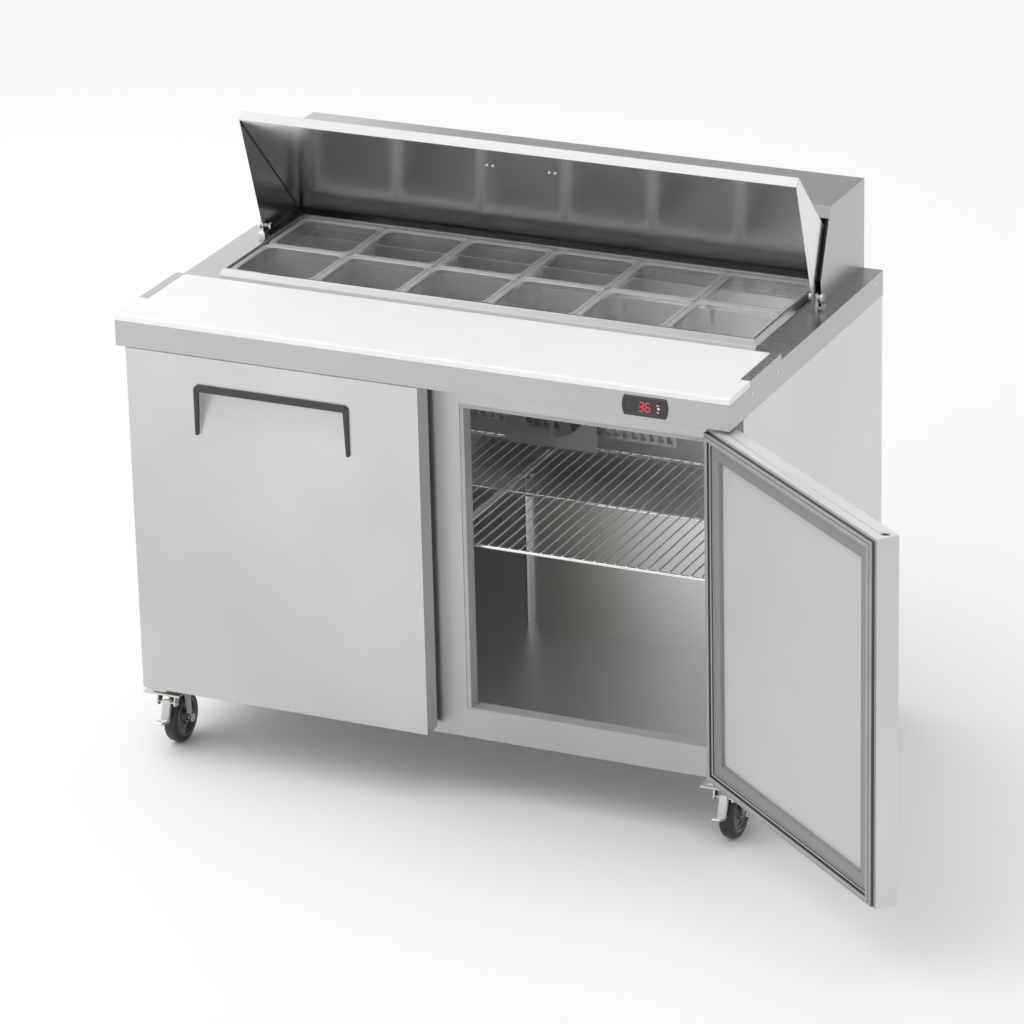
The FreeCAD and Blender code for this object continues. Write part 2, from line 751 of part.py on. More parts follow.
for side, hand in ((LEFT, "left"), (RIGHT, "right")):
    whole_x, whole_z = ("-hinge_inset", "door_reach"), ("door_bottom", "door_top")
    inside_x = ("-hinge_inset + door_skin", "door_reach - door_skin")
    inside_z = ("door_bottom + door_skin", "door_top - door_skin")
    shell = less(door_block(whole_x, ("-hinge_back", "door_back"), whole_z, side),
                 [door_block(inside_x, ("-hinge_back + door_skin", "door_back + 1"), inside_z, side)])
    holes = bush_holes(side, "bush_radius", "0")
    skin_solid = less(joined([shell, scoop("door_skin", side)]), [scoop("0", side)] + holes)
    node(hang(skin_solid, side), f"door_{hand}_outer_skin")

    panel = door_block(inside_x, ("door_back - inner_panel_depth", "door_back"), inside_z, side)
    dish = door_block(("inner_panel_margin - hinge_inset", "door_reach - inner_panel_margin"),
                      ("door_back - inner_panel_depth + inner_panel_skin", "door_back + 1"),
                      ("door_bottom + inner_panel_margin", "door_top - inner_panel_margin"), side)
    node(hang(less(panel, [dish]), side), f"door_{hand}_inner_panel")

    filling = door_block(
        inside_x, ("-hinge_back + door_skin", "door_back - inner_panel_depth"), inside_z, side
    )
    node(hang(less(filling, [scoop("door_skin", side)] + bush_holes(side, "bush_radius", "0")), side),
         f"door_{hand}_foam")

    # The gasket is two ridges on a flat base, with a magnet in the outer one. That ridge is
    # stepped, so that it clears the front frame while the door turns about its hinge line.
    seal_x = ("gasket_edge - hinge_inset", "door_reach - gasket_edge")
    seal_z = ("door_bottom + gasket_edge", "door_top - gasket_edge")

    def ring(inset, width, y_low, y_high):
        frame = door_block((f"{seal_x[0]} + {inset}", f"{seal_x[1]} - {inset}"), (y_low, y_high),
                           (f"{seal_z[0]} + {inset}", f"{seal_z[1]} - {inset}"), side)
        inner = f"{inset} + {width}"
        hole = door_block((f"{seal_x[0]} + {inner}", f"{seal_x[1]} - ({inner})"),
                          (f"{y_low} - 1", f"{y_high} + 1"),
                          (f"{seal_z[0]} + {inner}", f"{seal_z[1]} - ({inner})"), side)
        return less(frame, [hole])

    gasket = joined([
        ring("0", "gasket_width", "door_back", "door_back + 4"),
        ring("2", "14", "door_back + 3", "door_back + gasket_shoulder"),
        ring("gasket_nose_inset", "16 - gasket_nose_inset", "door_back + 3", "door_back + gasket_depth"),
        ring("18", "4", "door_back + 3", "door_back + 8"),
    ])
    node(hang(gasket, side), f"door_{hand}_gasket")

    bar = "handle_width / 2"
    mid = "handle_middle" if side == LEFT else "-(handle_middle)"
    trim = prism("XZ_Plane", [
        (f"{mid} - {bar}", "handle_bottom"), (f"{mid} - {bar}", "handle_top - 6"),
        (f"{mid} - {bar} + 6", "handle_top"), (f"{mid} + {bar} - 6", "handle_top"),
        (f"{mid} + {bar}", "handle_top - 6"), (f"{mid} + {bar}", "handle_bottom"),
        (f"{mid} + {bar} - handle_leg_bottom", "handle_bottom"),
        (f"{mid} + {bar} - handle_leg_top", "handle_top - handle_bar"),
        (f"{mid} - {bar} + handle_leg_top", "handle_top - handle_bar"),
        (f"{mid} - {bar} + handle_leg_bottom", "handle_bottom"),
    ], "handle_proud")
    place(trim, y="-hinge_back")
    node(hang(together([trim]), side), f"door_{hand}_handle")

    bushes = []
    for reach in ("0", "door_reach - hinge_inset"):
        x = reach if side == LEFT else f"-({reach})"
        for z in ("door_bottom", "door_top - bush_length"):
            sleeve = rod("z", (x, "0", z), "bush_length", "bush_radius")
            bore = rod("z", (x, "0", f"{z} - 1"), "bush_length + 2", "hinge_pin_radius + running_gap")
            bushes.append(less(sleeve, [bore]))
    node(hang(together(bushes), side), f"door_{hand}_bushes")

# Brackets at the top and bottom of each hinge line carry the pins.
brackets = []
for side in (LEFT, RIGHT):
    span = mirrored("hinge_at - 30", "hinge_at + 12", side)
    y_span = ("hinge_line - 12", "cabinet_setback")
    x_pin = f"({side}) * hinge_at"
    foot_plate = block(span, y_span, ("door_bottom - 7", "door_bottom - 3.5"))
    foot_flange = block(
        span, ("cabinet_setback - 3", "cabinet_setback"), ("under_height", "door_bottom - 3.5")
    )
    foot_pin = rod("z", (x_pin, "hinge_line", "door_bottom - 4"), "bush_length + 2", "hinge_pin_radius")
    brackets.append(joined([foot_plate, foot_flange, foot_pin]))
    head_plate = block(mirrored("hinge_at - 30", "hinge_at + 12", side), y_span,
                       ("apron_bottom - 3.5", "apron_bottom"))
    head_pin = rod("z", (x_pin, "hinge_line", "door_top - bush_length + 2"),
                   "bush_length - 2 + door_top_gap - 1", "hinge_pin_radius")
    brackets.append(joined([head_plate, head_pin]))
node(together(brackets), "hinge_brackets")

# ---------------------------------------------------------------- controller
bezel_x = ("half_width - control_right - control_width", "half_width - control_right")
bezel_z = ("work_height - control_drop - control_height", "work_height - control_drop")
bezel = block(bezel_x, ("-control_proud", "0"), bezel_z)
control_box = block(("half_width - control_right - control_width + 5", "half_width - control_right - 5"),
                    ("-0.5", "control_body_depth"),
                    ("work_height - control_drop - control_height + 5", "work_height - control_drop - 5"))
key_x = ("half_width - control_right - 22", "half_width - control_right - 22 + key_size")
key_rows = {
    "up": ("work_height - control_drop - 8 - key_size", "work_height - control_drop - 8"),
    "down": ("work_height - control_drop - 21 - key_size", "work_height - control_drop - 21"),
}
pockets = [
    block((f"{key_x[0]} - key_gap", f"{key_x[1]} + key_gap"), ("-control_proud - 1", "0.5"),
          (f"{key_z[0]} - key_gap", f"{key_z[1]} + key_gap"))
    for key_z in key_rows.values()
]
node(less(joined([bezel, control_box]), pockets), "controller")
for way, key_z in key_rows.items():
    node(block(key_x, ("-control_proud - 0.6", "0.5 - key_travel - 0.4"), key_z), f"key_{way}")

# ---------------------------------------------------------------- shelves
shelf_solids = []
for side in (LEFT, RIGHT):
    x_low = mirrored("shelf_inner", "shelf_outer", side)[0]
    run = "shelf_outer - shelf_inner"
    back = "shelf_front + shelf_depth"
    parts = []
    for y in ("shelf_front", "shelf_front + shelf_depth / 2", back):
        parts.append(rod("x", (x_low, y, "shelf_level"), run, "shelf_bar_radius"))
    for step in (0, 1):
        parts.append(rod("y", (f"{x_low} + {step} * ({run})", "shelf_front", "shelf_level"), "shelf_depth",
                         "shelf_bar_radius"))
    wires = int(size("shelf_wires"))
    for step in range(1, wires + 1):
        x = f"{x_low} + {step} * ({run}) / {wires + 1}"
        level = "shelf_level + shelf_bar_radius"
        parts.append(rod("y", (x, "shelf_front - 1", level), "shelf_depth + 2", "shelf_wire_radius"))
    shelf_solids.append(joined(parts))
node(together(shelf_solids), "wire_shelves")

# Clips hook onto the liner's sides and on two hangers at the middle.
clips = []
for side in (LEFT, RIGHT):
    for y in ("shelf_front + 40", "shelf_front + shelf_depth - 60"):
        y_span = (y, f"{y} + clip_width")
        z_top = "shelf_level - shelf_bar_radius"
        clips.append(
            block(mirrored("shelf_outer - 8", "opening_outer", side), y_span, (f"{z_top} - 3", z_top))
        )
middle_post = block(
    ("-2", "2"), ("shelf_front - 3", "shelf_front + 12"), ("opening_bottom", "shelf_level - 10")
)
back_post = block(
    ("-2", "2"), ("step_front - 16", "step_front - 1"), ("opening_bottom", "shelf_level - 10")
)
saddles = [
    block(("-16", "16"), y_span, ("shelf_level - 10", "shelf_level - shelf_bar_radius"))
    for y_span in (("shelf_front - 3", "shelf_front + 12"), ("step_front - 16", "step_front - 1"))
]
clips.append(joined([middle_post, saddles[0]]))
clips.append(joined([back_post, saddles[1]]))
node(together(clips), "shelf_clips")


# ---------------------------------------------------------------- cooling system
def finned_coil(x, y, z, fins):
    """A coil block with slots cut between its fins."""
    blocks = block(x, y, z)
    pitch = f"(({x[1]}) - ({x[0]})) / {fins}"
    slots = [
        block((f"{x[0]} + {step} * {pitch}", f"{x[0]} + ({step} + 0.6) * {pitch}"),
              (f"{y[0]} - 1", f"{y[0]} + 14"),
              (f"{z[0]} + 6", f"{z[1]} - 6"))
        for step in range(1, fins)
    ]
    return less(blocks, slots)


def fan_wheel(radius, blades, hub_length):
    """Blades set at a pitch on a hub, turning about Y; the hub's bore rides on the motor shaft."""
    hub_radius = radius * 0.28
    bore = size("fan_shaft_radius") + size("running_gap")
    hub = Part.makeCylinder(hub_radius, hub_length, Vector(0, 0, 0), Vector(0, 1, 0))
    for step in range(blades):
        root = Vector(hub_radius - 4, 0, -radius * 0.25)
        blade = Part.makeBox(radius - hub_radius + 4, 1.6, radius * 0.5, root)
        blade.rotate(Vector(), Vector(1, 0, 0), 28)
        blade.translate(Vector(0, hub_length / 2, 0))
        blade.rotate(Vector(), Vector(0, 1, 0), 360 * step / blades)
        hub = hub.fuse(blade)
    return hub.cut(Part.makeCylinder(bore, hub_length * 2, Vector(0, -5, 0), Vector(0, 1, 0)))


def shroud(centre, radius, y, half):
    """A plate with a round throat, three arms and a motor whose shaft carries the fan."""
    x_mid, z_mid = centre
    plate = block((f"{x_mid} - {half}", f"{x_mid} + {half}"), (y, f"{y} + 1.5"),
                  (f"{z_mid} - {half}", f"{z_mid} + {half}"))
    throat = rod("y", (x_mid, f"{y} - 5", z_mid), "20", f"{radius} + 4")
    arms = [
        block((f"{x_mid} - {half}", f"{x_mid} + {half}"), (y, f"{y} + 1.5"), (f"{z_mid} - 6", f"{z_mid} + 6")),
        block((f"{x_mid} - 6", f"{x_mid} + 6"), (y, f"{y} + 1.5"), (f"{z_mid} - {half}", f"{z_mid} + {half}")),
    ]
    motor = rod("y", (x_mid, f"{y} - 34", z_mid), "35", "28")
    shaft = rod("y", (x_mid, y, z_mid), "fan_hub_gap + fan_hub_length + 2", "fan_shaft_radius")
    return joined([less(plate, [throat])] + arms + [motor, shaft])


evaporator_z = ("step_height + 70", "step_height + 230")
node(finned_coil(("-240", "240"), ("liner_back - 75", "liner_back - 20"), evaporator_z, 26), "evaporator")
condenser_z = ("under_height + 25", "under_height + 265")
node(finned_coil(("60", "340"), ("counter_depth - 66", "counter_depth - 20"), condenser_z, 22), "condenser")

evaporator_centre = ("0", "step_height + 150")
condenser_centre = ("200", "under_height + 145")
evaporator_plate = "liner_back - 120"
condenser_plate = "counter_depth - 150"
node(together([
    shroud(evaporator_centre, "evaporator_fan_radius", evaporator_plate, "95"),
    shroud(condenser_centre, "condenser_fan_radius", condenser_plate, "120"),
]), "fan_shrouds")

for name, radius, centre, y, blades in (
    ("evaporator_fan", "evaporator_fan_radius", evaporator_centre, evaporator_plate, 5),
    ("condenser_fan", "condenser_fan_radius", condenser_centre, condenser_plate, 5),
):
    wheel = coded(fan_wheel(size(radius), blades, size("fan_hub_length")))
    node(place(wheel, centre[0], f"{y} + fan_hub_gap", centre[1]), name)

# The compressor is a welded can with domed ends on a foot plate with rubber mounts.
can = turned([
    ("0", "0"), ("compressor_radius - 22", "0"), ("compressor_radius - 6", "9"),
    ("compressor_radius", "26"),
    ("compressor_radius", "compressor_height - 40"), ("compressor_radius - 8", "compressor_height - 18"),
    ("compressor_radius - 30", "compressor_height - 3"), ("0", "compressor_height"),
])
can.Placement = Placement(Vector(), Rotation(Vector(1, 0, 0), 90))
can_x, can_y = "-220", "counter_depth - 118"
place(can, can_x, can_y, "under_height + skin + 20")
foot_y = (f"{can_y} - 70", f"{can_y} + 70")
foot_z = ("under_height + skin + 16", "under_height + skin + 22")
foot_plate = block((f"{can_x} - 90", f"{can_x} + 90"), foot_y, foot_z)
mounts = [
    rod("z", (f"{can_x} + {sx} * 76", f"{can_y} + {sy} * 56", "under_height + skin"), "17", "11")
    for sx in (-1, 1) for sy in (-1, 1)
]
node(joined([can, foot_plate] + mounts), "compressor")

# Louvred cover over the machine compartment, with the mains inlet beside the louvres.
cover = block(("-body_half + skin", "body_half - skin"), ("back_inside", "counter_depth"),
              ("under_height + skin", "machine_top"))
louvres = [
    block((f"{x} - 110", f"{x} + 110"), ("back_inside - 1", "counter_depth + 1"),
          (f"under_height + 50 + {step} * 18", f"under_height + 57 + {step} * 18"))
    for x in ("-400", "-130", "200") for step in range(12)
]
inlet_x, inlet_z = "470", "under_height + 80"
inlet_hole = block((f"{inlet_x} - 14", f"{inlet_x} + 14"), ("back_inside - 1", "counter_depth + 1"),
                   (f"{inlet_z} - 11", f"{inlet_z} + 11"))
node(less(cover, louvres + [inlet_hole]), "rear_grille")

inlet_body = block((f"{inlet_x} - 13.8", f"{inlet_x} + 13.8"), ("counter_depth - 26", "counter_depth - 0.2"),
                   (f"{inlet_z} - 10.8", f"{inlet_z} + 10.8"))
inlet_well = block((f"{inlet_x} - 11.5", f"{inlet_x} + 11.5"), ("counter_depth - 18", "counter_depth + 1"),
                   (f"{inlet_z} - 8", f"{inlet_z} + 8"))
blades = [
    block((f"{inlet_x} + {x} - 1", f"{inlet_x} + {x} + 1"), ("counter_depth - 20", "counter_depth - 5"),
          (f"{inlet_z} + {z} - 2", f"{inlet_z} + {z} + 2"))
    for x, z in ((-7, -2), (0, 2), (7, -2))
]
node(joined([less(inlet_body, [inlet_well])] + blades), "power_inlet")

# ---------------------------------------------------------------- screws
screws = []
for side in (LEFT, RIGHT):
    for y in ("105", "228", "counter_depth - 40"):
        x = mirrored("half_width + screw_gap", "half_width + screw_gap + screw_head", side)[0]
        screws.append(rod("x", (x, y, "work_height - 16"), "screw_head", "screw_radius"))
for x in ("-body_half + 20", "-260", "20", "300", "body_half - 20"):
    for z in ("under_height + 20", "machine_top - 12"):
        screws.append(rod("y", (x, "counter_depth", z), "screw_head", "screw_radius + 1"))
node(together(screws), "screws")


# ---------------------------------------------------------------- casters
def caster_parts(side, y, braked):
    """Top plate and swivelling fork of one caster; a braked fork also carries the pedal's pin."""
    x_mid = f"({side}) * caster_at"
    axle_y = f"{y} + caster_trail"
    plate = block(
        (f"{x_mid} - 38", f"{x_mid} + 38"), (f"{y} - 46", f"{y} + 46"), ("plate_under", "under_height")
    )
    race = rod("z", (x_mid, y, "plate_under - 5"), "6", "24")
    kingpin = rod("z", (x_mid, y, "plate_under - 14"), "14", "6")
    top = joined([plate, race, kingpin])

    inner = "wheel_width / 2 + fork_gap"
    crown_z = ("plate_under - 11", "plate_under - 5.4")
    crown_x = (f"{x_mid} - {inner} - fork_wall", f"{x_mid} + {inner} + fork_wall")
    crown = block(crown_x, (f"{y} - 24", f"{y} + 30"), crown_z)
    legs = []
    for hand in (LEFT, RIGHT):
        low, high = mirrored(inner, f"{inner} + fork_wall", hand)
        leg = prism("YZ_Plane", [
            (f"{y} - 24", "plate_under - 5.4"), (f"{y} - pedal_ahead - 7", "plate_under - pedal_below + 4"),
            (f"{y} - pedal_ahead - 7", "plate_under - pedal_below - 4"),
            (f"{y} - pedal_ahead", "plate_under - pedal_below - 7"),
            (f"{y} - pedal_ahead + 8", "plate_under - pedal_below - 3"), (f"{y} - 8", "plate_under - 16"),
            (f"{y} + 14", "plate_under - 18"), (f"{axle_y} - 9", "wheel_radius + 6"),
            (f"{axle_y} - 6", "wheel_radius - 7"), (f"{axle_y} + 6", "wheel_radius - 7"),
            (f"{axle_y} + 9", "wheel_radius + 6"), (f"{y} + 34", "plate_under - 18"),
            (f"{y} + 30", "plate_under - 5.4"),
        ], "fork_wall")
        legs.append(place(leg, x=f"{x_mid} + {low}"))
    axle = rod("x", (f"{x_mid} - {inner} - fork_wall - 4", axle_y, "wheel_radius"),
               f"2 * ({inner}) + 2 * fork_wall + 8", "axle_radius")
    bore = rod("z", (x_mid, y, "plate_under - 15"), "12", "6 + running_gap")
    across = [crown, axle]
    if braked:
        pin_at = (f"{x_mid} - {inner} - fork_wall", f"{y} - pedal_ahead", "plate_under - pedal_below")
        across.append(rod("x", pin_at, f"2 * ({inner}) + 2 * fork_wall", "pedal_pin_radius"))
    fork = less(joined(across + legs), [bore])
    return top, fork


def caster_wheel():
    """Grey hub and black tread as one moulded wheel, dished at both faces."""
    half = "wheel_width / 2"
    return turned([
        ("axle_radius + running_gap", f"-{half}"), ("15", f"-{half}"), ("17", f"-{half} + 5"),
        ("33", f"-{half} + 5"),
        ("37", f"-{half} + 1"), ("wheel_radius - 6", f"-{half} + 1"), ("wheel_radius", f"-{half} + 7"),
        ("wheel_radius", f"{half} - 7"), ("wheel_radius - 6", f"{half} - 1"), ("37", f"{half} - 1"),
        ("33", f"{half} - 5"), ("17", f"{half} - 5"), ("15", half), ("axle_radius + running_gap", half),
    ])


caster_tops = []
for hand, side in (("left", LEFT), ("right", RIGHT)):
    for end, y in (("front", "caster_front"), ("rear", "caster_back")):
        top, fork = caster_parts(side, y, end == "front")
        caster_tops.append(top)
        node(fork, f"caster_fork_{end}_{hand}")
        wheel = caster_wheel()
        wheel.Placement = Placement(Vector(), Rotation(Vector(0, 0, 1), -90))
        place(wheel, f"({side}) * caster_at", f"{y} + caster_trail", "wheel_radius")
        node(wheel, f"caster_wheel_{end}_{hand}")
    # The brake lever is hinged in the fork ahead of the wheel.
    x_mid = f"({side}) * caster_at"
    lever = prism("YZ_Plane", [
        ("5", "-4"), ("5", "4"), ("-4", "6"), ("-6", "-3"), ("-12", "-20"), ("-16", "-31"), ("-40", "-26"),
        ("-42", "-29"), ("-40", "-31"), ("-15", "-38"), ("-9", "-36"), ("-2", "-18"),
    ], "pedal_width")
    pin_hole = rod("x", ("-1", "0", "0"), "pedal_width + 2", "pedal_pin_radius + running_gap")
    pedal = place(less(lever, [pin_hole]), f"{x_mid} - pedal_width / 2", "caster_front - pedal_ahead",
                  "plate_under - pedal_below")
    node(pedal, f"brake_pedal_{hand}")
node(together(caster_tops), "caster_plates")

# ---------------------------------------------------------------- check and write
doc.recompute()
faults = [
    f"{thing.Label}: {thing.State}" for thing in doc.Objects
    if "Invalid" in thing.State or "Error" in thing.State
]
for thing in nodes:
    if thing.Shape.isNull():
        faults.append(f"{thing.Label}: empty shape")
    elif not thing.Shape.isValid() or not thing.Shape.Solids:
        faults.append(f"{thing.Label}: not a valid solid")
if faults:
    raise RuntimeError("; ".join(faults))

os.makedirs("parts", exist_ok=True)
for thing in nodes:
    thing.Shape.exportStep(f"parts/{thing.Label}.step")
print(f"{len(nodes)} nodes written")
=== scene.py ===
import json
import math
import bmesh
import bpy
from mathutils import Matrix, Vector


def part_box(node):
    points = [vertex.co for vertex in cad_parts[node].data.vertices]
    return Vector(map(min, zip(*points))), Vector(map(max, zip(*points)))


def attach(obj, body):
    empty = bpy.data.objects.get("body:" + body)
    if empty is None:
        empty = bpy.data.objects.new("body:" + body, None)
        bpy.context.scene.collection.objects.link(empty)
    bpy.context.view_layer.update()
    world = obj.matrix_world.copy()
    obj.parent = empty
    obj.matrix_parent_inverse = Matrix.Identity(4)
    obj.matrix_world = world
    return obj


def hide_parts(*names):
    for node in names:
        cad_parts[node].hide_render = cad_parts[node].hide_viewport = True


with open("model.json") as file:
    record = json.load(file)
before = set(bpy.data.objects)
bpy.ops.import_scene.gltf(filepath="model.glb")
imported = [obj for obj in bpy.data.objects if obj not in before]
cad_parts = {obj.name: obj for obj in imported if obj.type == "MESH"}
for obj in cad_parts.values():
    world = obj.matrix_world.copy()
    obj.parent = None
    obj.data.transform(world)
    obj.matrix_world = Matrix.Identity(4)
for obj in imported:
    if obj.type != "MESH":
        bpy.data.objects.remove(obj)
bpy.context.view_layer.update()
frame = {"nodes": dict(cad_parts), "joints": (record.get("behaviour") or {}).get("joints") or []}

SIDES = {"left": -1, "right": 1}

# ------------------------------------------------------------------ view, floor and light
# A pale matt floor with no edge in sight, seen through a long lens from the front right.
# One broad soft lamp is overhead, one stands behind to the left and one hangs over the floor in
# front to the left. The room is bright low down.
camera = bpy.data.objects.new("camera", bpy.data.cameras.new("camera"))
bpy.context.scene.collection.objects.link(camera)
camera.data.lens = 183.7
camera.data.clip_end = 200
turn, dip, roll = 0.43599, 0.38667, -0.02420
ahead = Vector((-math.sin(turn) * math.cos(dip), math.cos(turn) * math.cos(dip), -math.sin(dip)))
level = Vector((math.cos(turn), math.sin(turn), 0))
upright = level.cross(ahead)
across = math.cos(roll) * level + math.sin(roll) * upright
upward = math.cos(roll) * upright - math.sin(roll) * level
CAMERA_PLACE = (3.87108, -7.90794, 4.17635)
camera_turn = Matrix((across, upward, -ahead)).transposed().to_4x4()
camera.matrix_world = Matrix.Translation(CAMERA_PLACE) @ camera_turn
bpy.context.scene.camera = camera
bpy.context.scene.view_settings.view_transform = "Standard"

floor_mesh = bpy.data.meshes.new("floor")
floor_mesh.from_pydata([(-60, -60, 0), (60, -60, 0), (60, 60, 0), (-60, 60, 0)], [], [(0, 1, 2, 3)])
floor = bpy.data.objects.new("floor", floor_mesh)
bpy.context.scene.collection.objects.link(floor)
floor_paint = bpy.data.materials.new("floor_paint")
floor_paint.use_nodes = True
floor_shader = floor_paint.node_tree.nodes["Principled BSDF"]
floor_shader.inputs["Base Color"].default_value = (0.93, 0.93, 0.93, 1)
floor_shader.inputs["Roughness"].default_value = 0.9
floor_shader.inputs["Specular IOR Level"].default_value = 0.1
floor_mesh.materials.append(floor_paint)

lamp = bpy.data.objects.new("soft_lamp", bpy.data.lights.new("soft_lamp", "SUN"))
bpy.context.scene.collection.objects.link(lamp)
lamp.data.energy = 1.6
lamp.data.angle = math.radians(74)
lamp.rotation_euler = Vector((-0.3, -0.12, 0.95)).to_track_quat("Z", "Y").to_euler()


def soft_panel(name, width, power, place, back):
    """A square soft lamp; back points from its lit face to its rear."""
    panel = bpy.data.objects.new(name, bpy.data.lights.new(name, "AREA"))
    bpy.context.scene.collection.objects.link(panel)
    panel.data.shape = "RECTANGLE"
    panel.data.size = width
    panel.data.size_y = width
    panel.data.energy = power
    panel.location = place
    panel.rotation_euler = Vector(back).to_track_quat("Z", "Y").to_euler()


soft_panel("side_lamp", 2.2, 10, (-2.7, 3.0, 2.2), (-0.42, 0.84, 0.36))
soft_panel("floor_lamp", 2.4, 32, (-2.6, -2.6, 2.6), (0, 0, 1))

room = bpy.data.worlds.new("room")
bpy.context.scene.world = room
room.use_nodes = True
sky = room.node_tree
facing = sky.nodes.new("ShaderNodeTexCoord")
height = sky.nodes.new("ShaderNodeSeparateXYZ")
tones = sky.nodes.new("ShaderNodeValToRGB")
sky.links.new(facing.outputs["Generated"], height.inputs[0])
sky.links.new(height.outputs["Z"], tones.inputs["Fac"])
sky.links.new(tones.outputs["Color"], sky.nodes["Background"].inputs["Color"])
tones.color_ramp.elements[0].position = 0.0
tones.color_ramp.elements[0].color = (1.0, 1.0, 1.0, 1)
tones.color_ramp.elements[1].position = 1.0
tones.color_ramp.elements[1].color = (0.62, 0.62, 0.62, 1)
for position, tone in ((0.22, 0.95), (0.36, 0.42), (0.55, 0.36)):
    tones.color_ramp.elements.new(position).color = (tone, tone, tone, 1)


# ------------------------------------------------------------------ cabinet sheet metal
# The cabinet is bent from satin stainless sheet: one wrap makes the sides and the back, and a
# pressed front frame carries the door openings. The base is galvanised. All of it is brushed one way.
def noise(tree, spread, detail=3.0, scale=1.0):
    """Noise in the object's own space, stretched by spread (repeats a metre along X, Y and Z)."""
    where = tree.nodes.new("ShaderNodeTexCoord")
    stretch = tree.nodes.new("ShaderNodeMapping")
    stretch.inputs["Scale"].default_value = spread
    pattern = tree.nodes.new("ShaderNodeTexNoise")
    pattern.inputs["Scale"].default_value = scale
    pattern.inputs["Detail"].default_value = detail
    tree.links.new(where.outputs["Object"], stretch.inputs["Vector"])
    tree.links.new(stretch.outputs["Vector"], pattern.inputs["Vector"])
    return pattern.outputs["Fac"]


def spread_to(tree, source, low, high, start=0.3, end=0.7):
    """A 0 to 1 pattern brought to run from low to high."""
    change = tree.nodes.new("ShaderNodeMapRange")
    for name, value in (("From Min", start), ("From Max", end), ("To Min", low), ("To Max", high)):
        change.inputs[name].default_value = value
    tree.links.new(source, change.inputs["Value"])
    return change.outputs["Result"]


def two_tone(tree, source, dark, light):
    """A pattern turned into a run between two close colours."""
    ramp = tree.nodes.new("ShaderNodeValToRGB")
    ramp.color_ramp.elements[0].position = 0.3
    ramp.color_ramp.elements[0].color = (*dark, 1)
    ramp.color_ramp.elements[1].position = 0.7
    ramp.color_ramp.elements[1].color = (*light, 1)
    tree.links.new(source, ramp.inputs["Fac"])
    return ramp.outputs["Color"]


def relief(tree, shader, source, strength, depth):
    bump = tree.nodes.new("ShaderNodeBump")
    bump.inputs["Strength"].default_value = strength
    bump.inputs["Distance"].default_value = depth
    tree.links.new(source, bump.inputs["Height"])
    tree.links.new(bump.outputs["Normal"], shader.inputs["Normal"])


def sum_of(tree, first, second):
    add = tree.nodes.new("ShaderNodeMath")
    tree.links.new(first, add.inputs[0])
    tree.links.new(second, add.inputs[1])
    return add.outputs["Value"]


GRAIN_UP = (260, 260, 4)
GRAIN_ALONG = (4, 260, 260)


def brushed_steel(name, tone, roughness, grain=GRAIN_UP, cloud=0.04, brush=0.025, tint=(1.0, 1.0, 0.99)):
    """Satin stainless: fine brush lines, with faint clouds where it has been wiped."""
    finish = bpy.data.materials.new(name)
    finish.use_nodes = True
    tree = finish.node_tree
    shader = tree.nodes["Principled BSDF"]
    shader.inputs["Metallic"].default_value = 1.0
    lines = noise(tree, grain, 4.0)
    clouds = noise(tree, (1.5, 1.5, 1.2), 3.0)
    dark = [channel * tone * (1 - cloud) for channel in tint]
    light = [channel * tone * (1 + cloud) for channel in tint]
    tree.links.new(two_tone(tree, clouds, dark, light), shader.inputs["Base Color"])
    fine_rough = spread_to(tree, lines, -brush, brush)
    broad_rough = spread_to(tree, clouds, roughness - 0.02, roughness + 0.03)
    tree.links.new(sum_of(tree, fine_rough, broad_rough), shader.inputs["Roughness"])
    relief(tree, shader, lines, 0.05, 0.00005)
    return finish


def dress(names, finish, edge=0.0, bend=2):
    """Give CAD nodes their finish, and the small bend radius that their edges have."""
    for name in names:
        node = frame["nodes"][name]
        for place in node.material_slots:
            place.material = finish
        if edge:
            node.modifiers.new("weld", "WELD").merge_threshold = 0.00001
            soften = node.modifiers.new("edges", "BEVEL")
            soften.width = edge
            soften.segments = bend
            soften.limit_method = "ANGLE"
            soften.angle_limit = math.radians(38)
            node.modifiers.new("shading", "WEIGHTED_NORMAL")


def second_finish(name, finish, chosen):
    """Give the chosen faces of one CAD node a finish of their own."""
    mesh = frame["nodes"][name].data
    mesh.materials.append(finish)
    for face in mesh.polygons:
        if chosen(face):
            face.material_index = len(mesh.materials) - 1


dress(["outer_wrap"], brushed_steel("wrap_steel", 0.67, 0.35), 0.0005)
dress(["front_frame"], brushed_steel("frame_steel", 0.48, 0.33, cloud=0.12), 0.0005)
galvanised = brushed_steel("galvanised", 0.55, 0.45, (25, 25, 25), 0.12, 0.08)
dress(["base_panel", "fan_shrouds"], galvanised, 0.0004)


# ------------------------------------------------------------------ insulation
# Cream polyurethane foam fills the walls, the lid and the doors. It is blown in, so it is open
# and bubbly, and nothing of it shows until a panel comes off.
def moulded(name, colour, roughness, fleck=0.03, grain=400.0, bump=0.15, depth=0.00012, coat=0.0):
    """A moulded or foamed surface with a fine all-over texture and a slight change of tone."""
    finish = bpy.data.materials.new(name)
    finish.use_nodes = True
    tree = finish.node_tree
    shader = tree.nodes["Principled BSDF"]
    shader.inputs["Coat Weight"].default_value = coat
    fine = noise(tree, (grain, grain, grain), 2.0)
    broad = noise(tree, (9, 9, 9), 3.0)
    dark = [channel * (1 - fleck) for channel in colour]
    light = [min(1.0, channel * (1 + fleck)) for channel in colour]
    tree.links.new(two_tone(tree, broad, dark, light), shader.inputs["Base Color"])
    tree.links.new(spread_to(tree, fine, roughness - 0.05, roughness + 0.06), shader.inputs["Roughness"])
    relief(tree, shader, fine, bump, depth)
    return finish


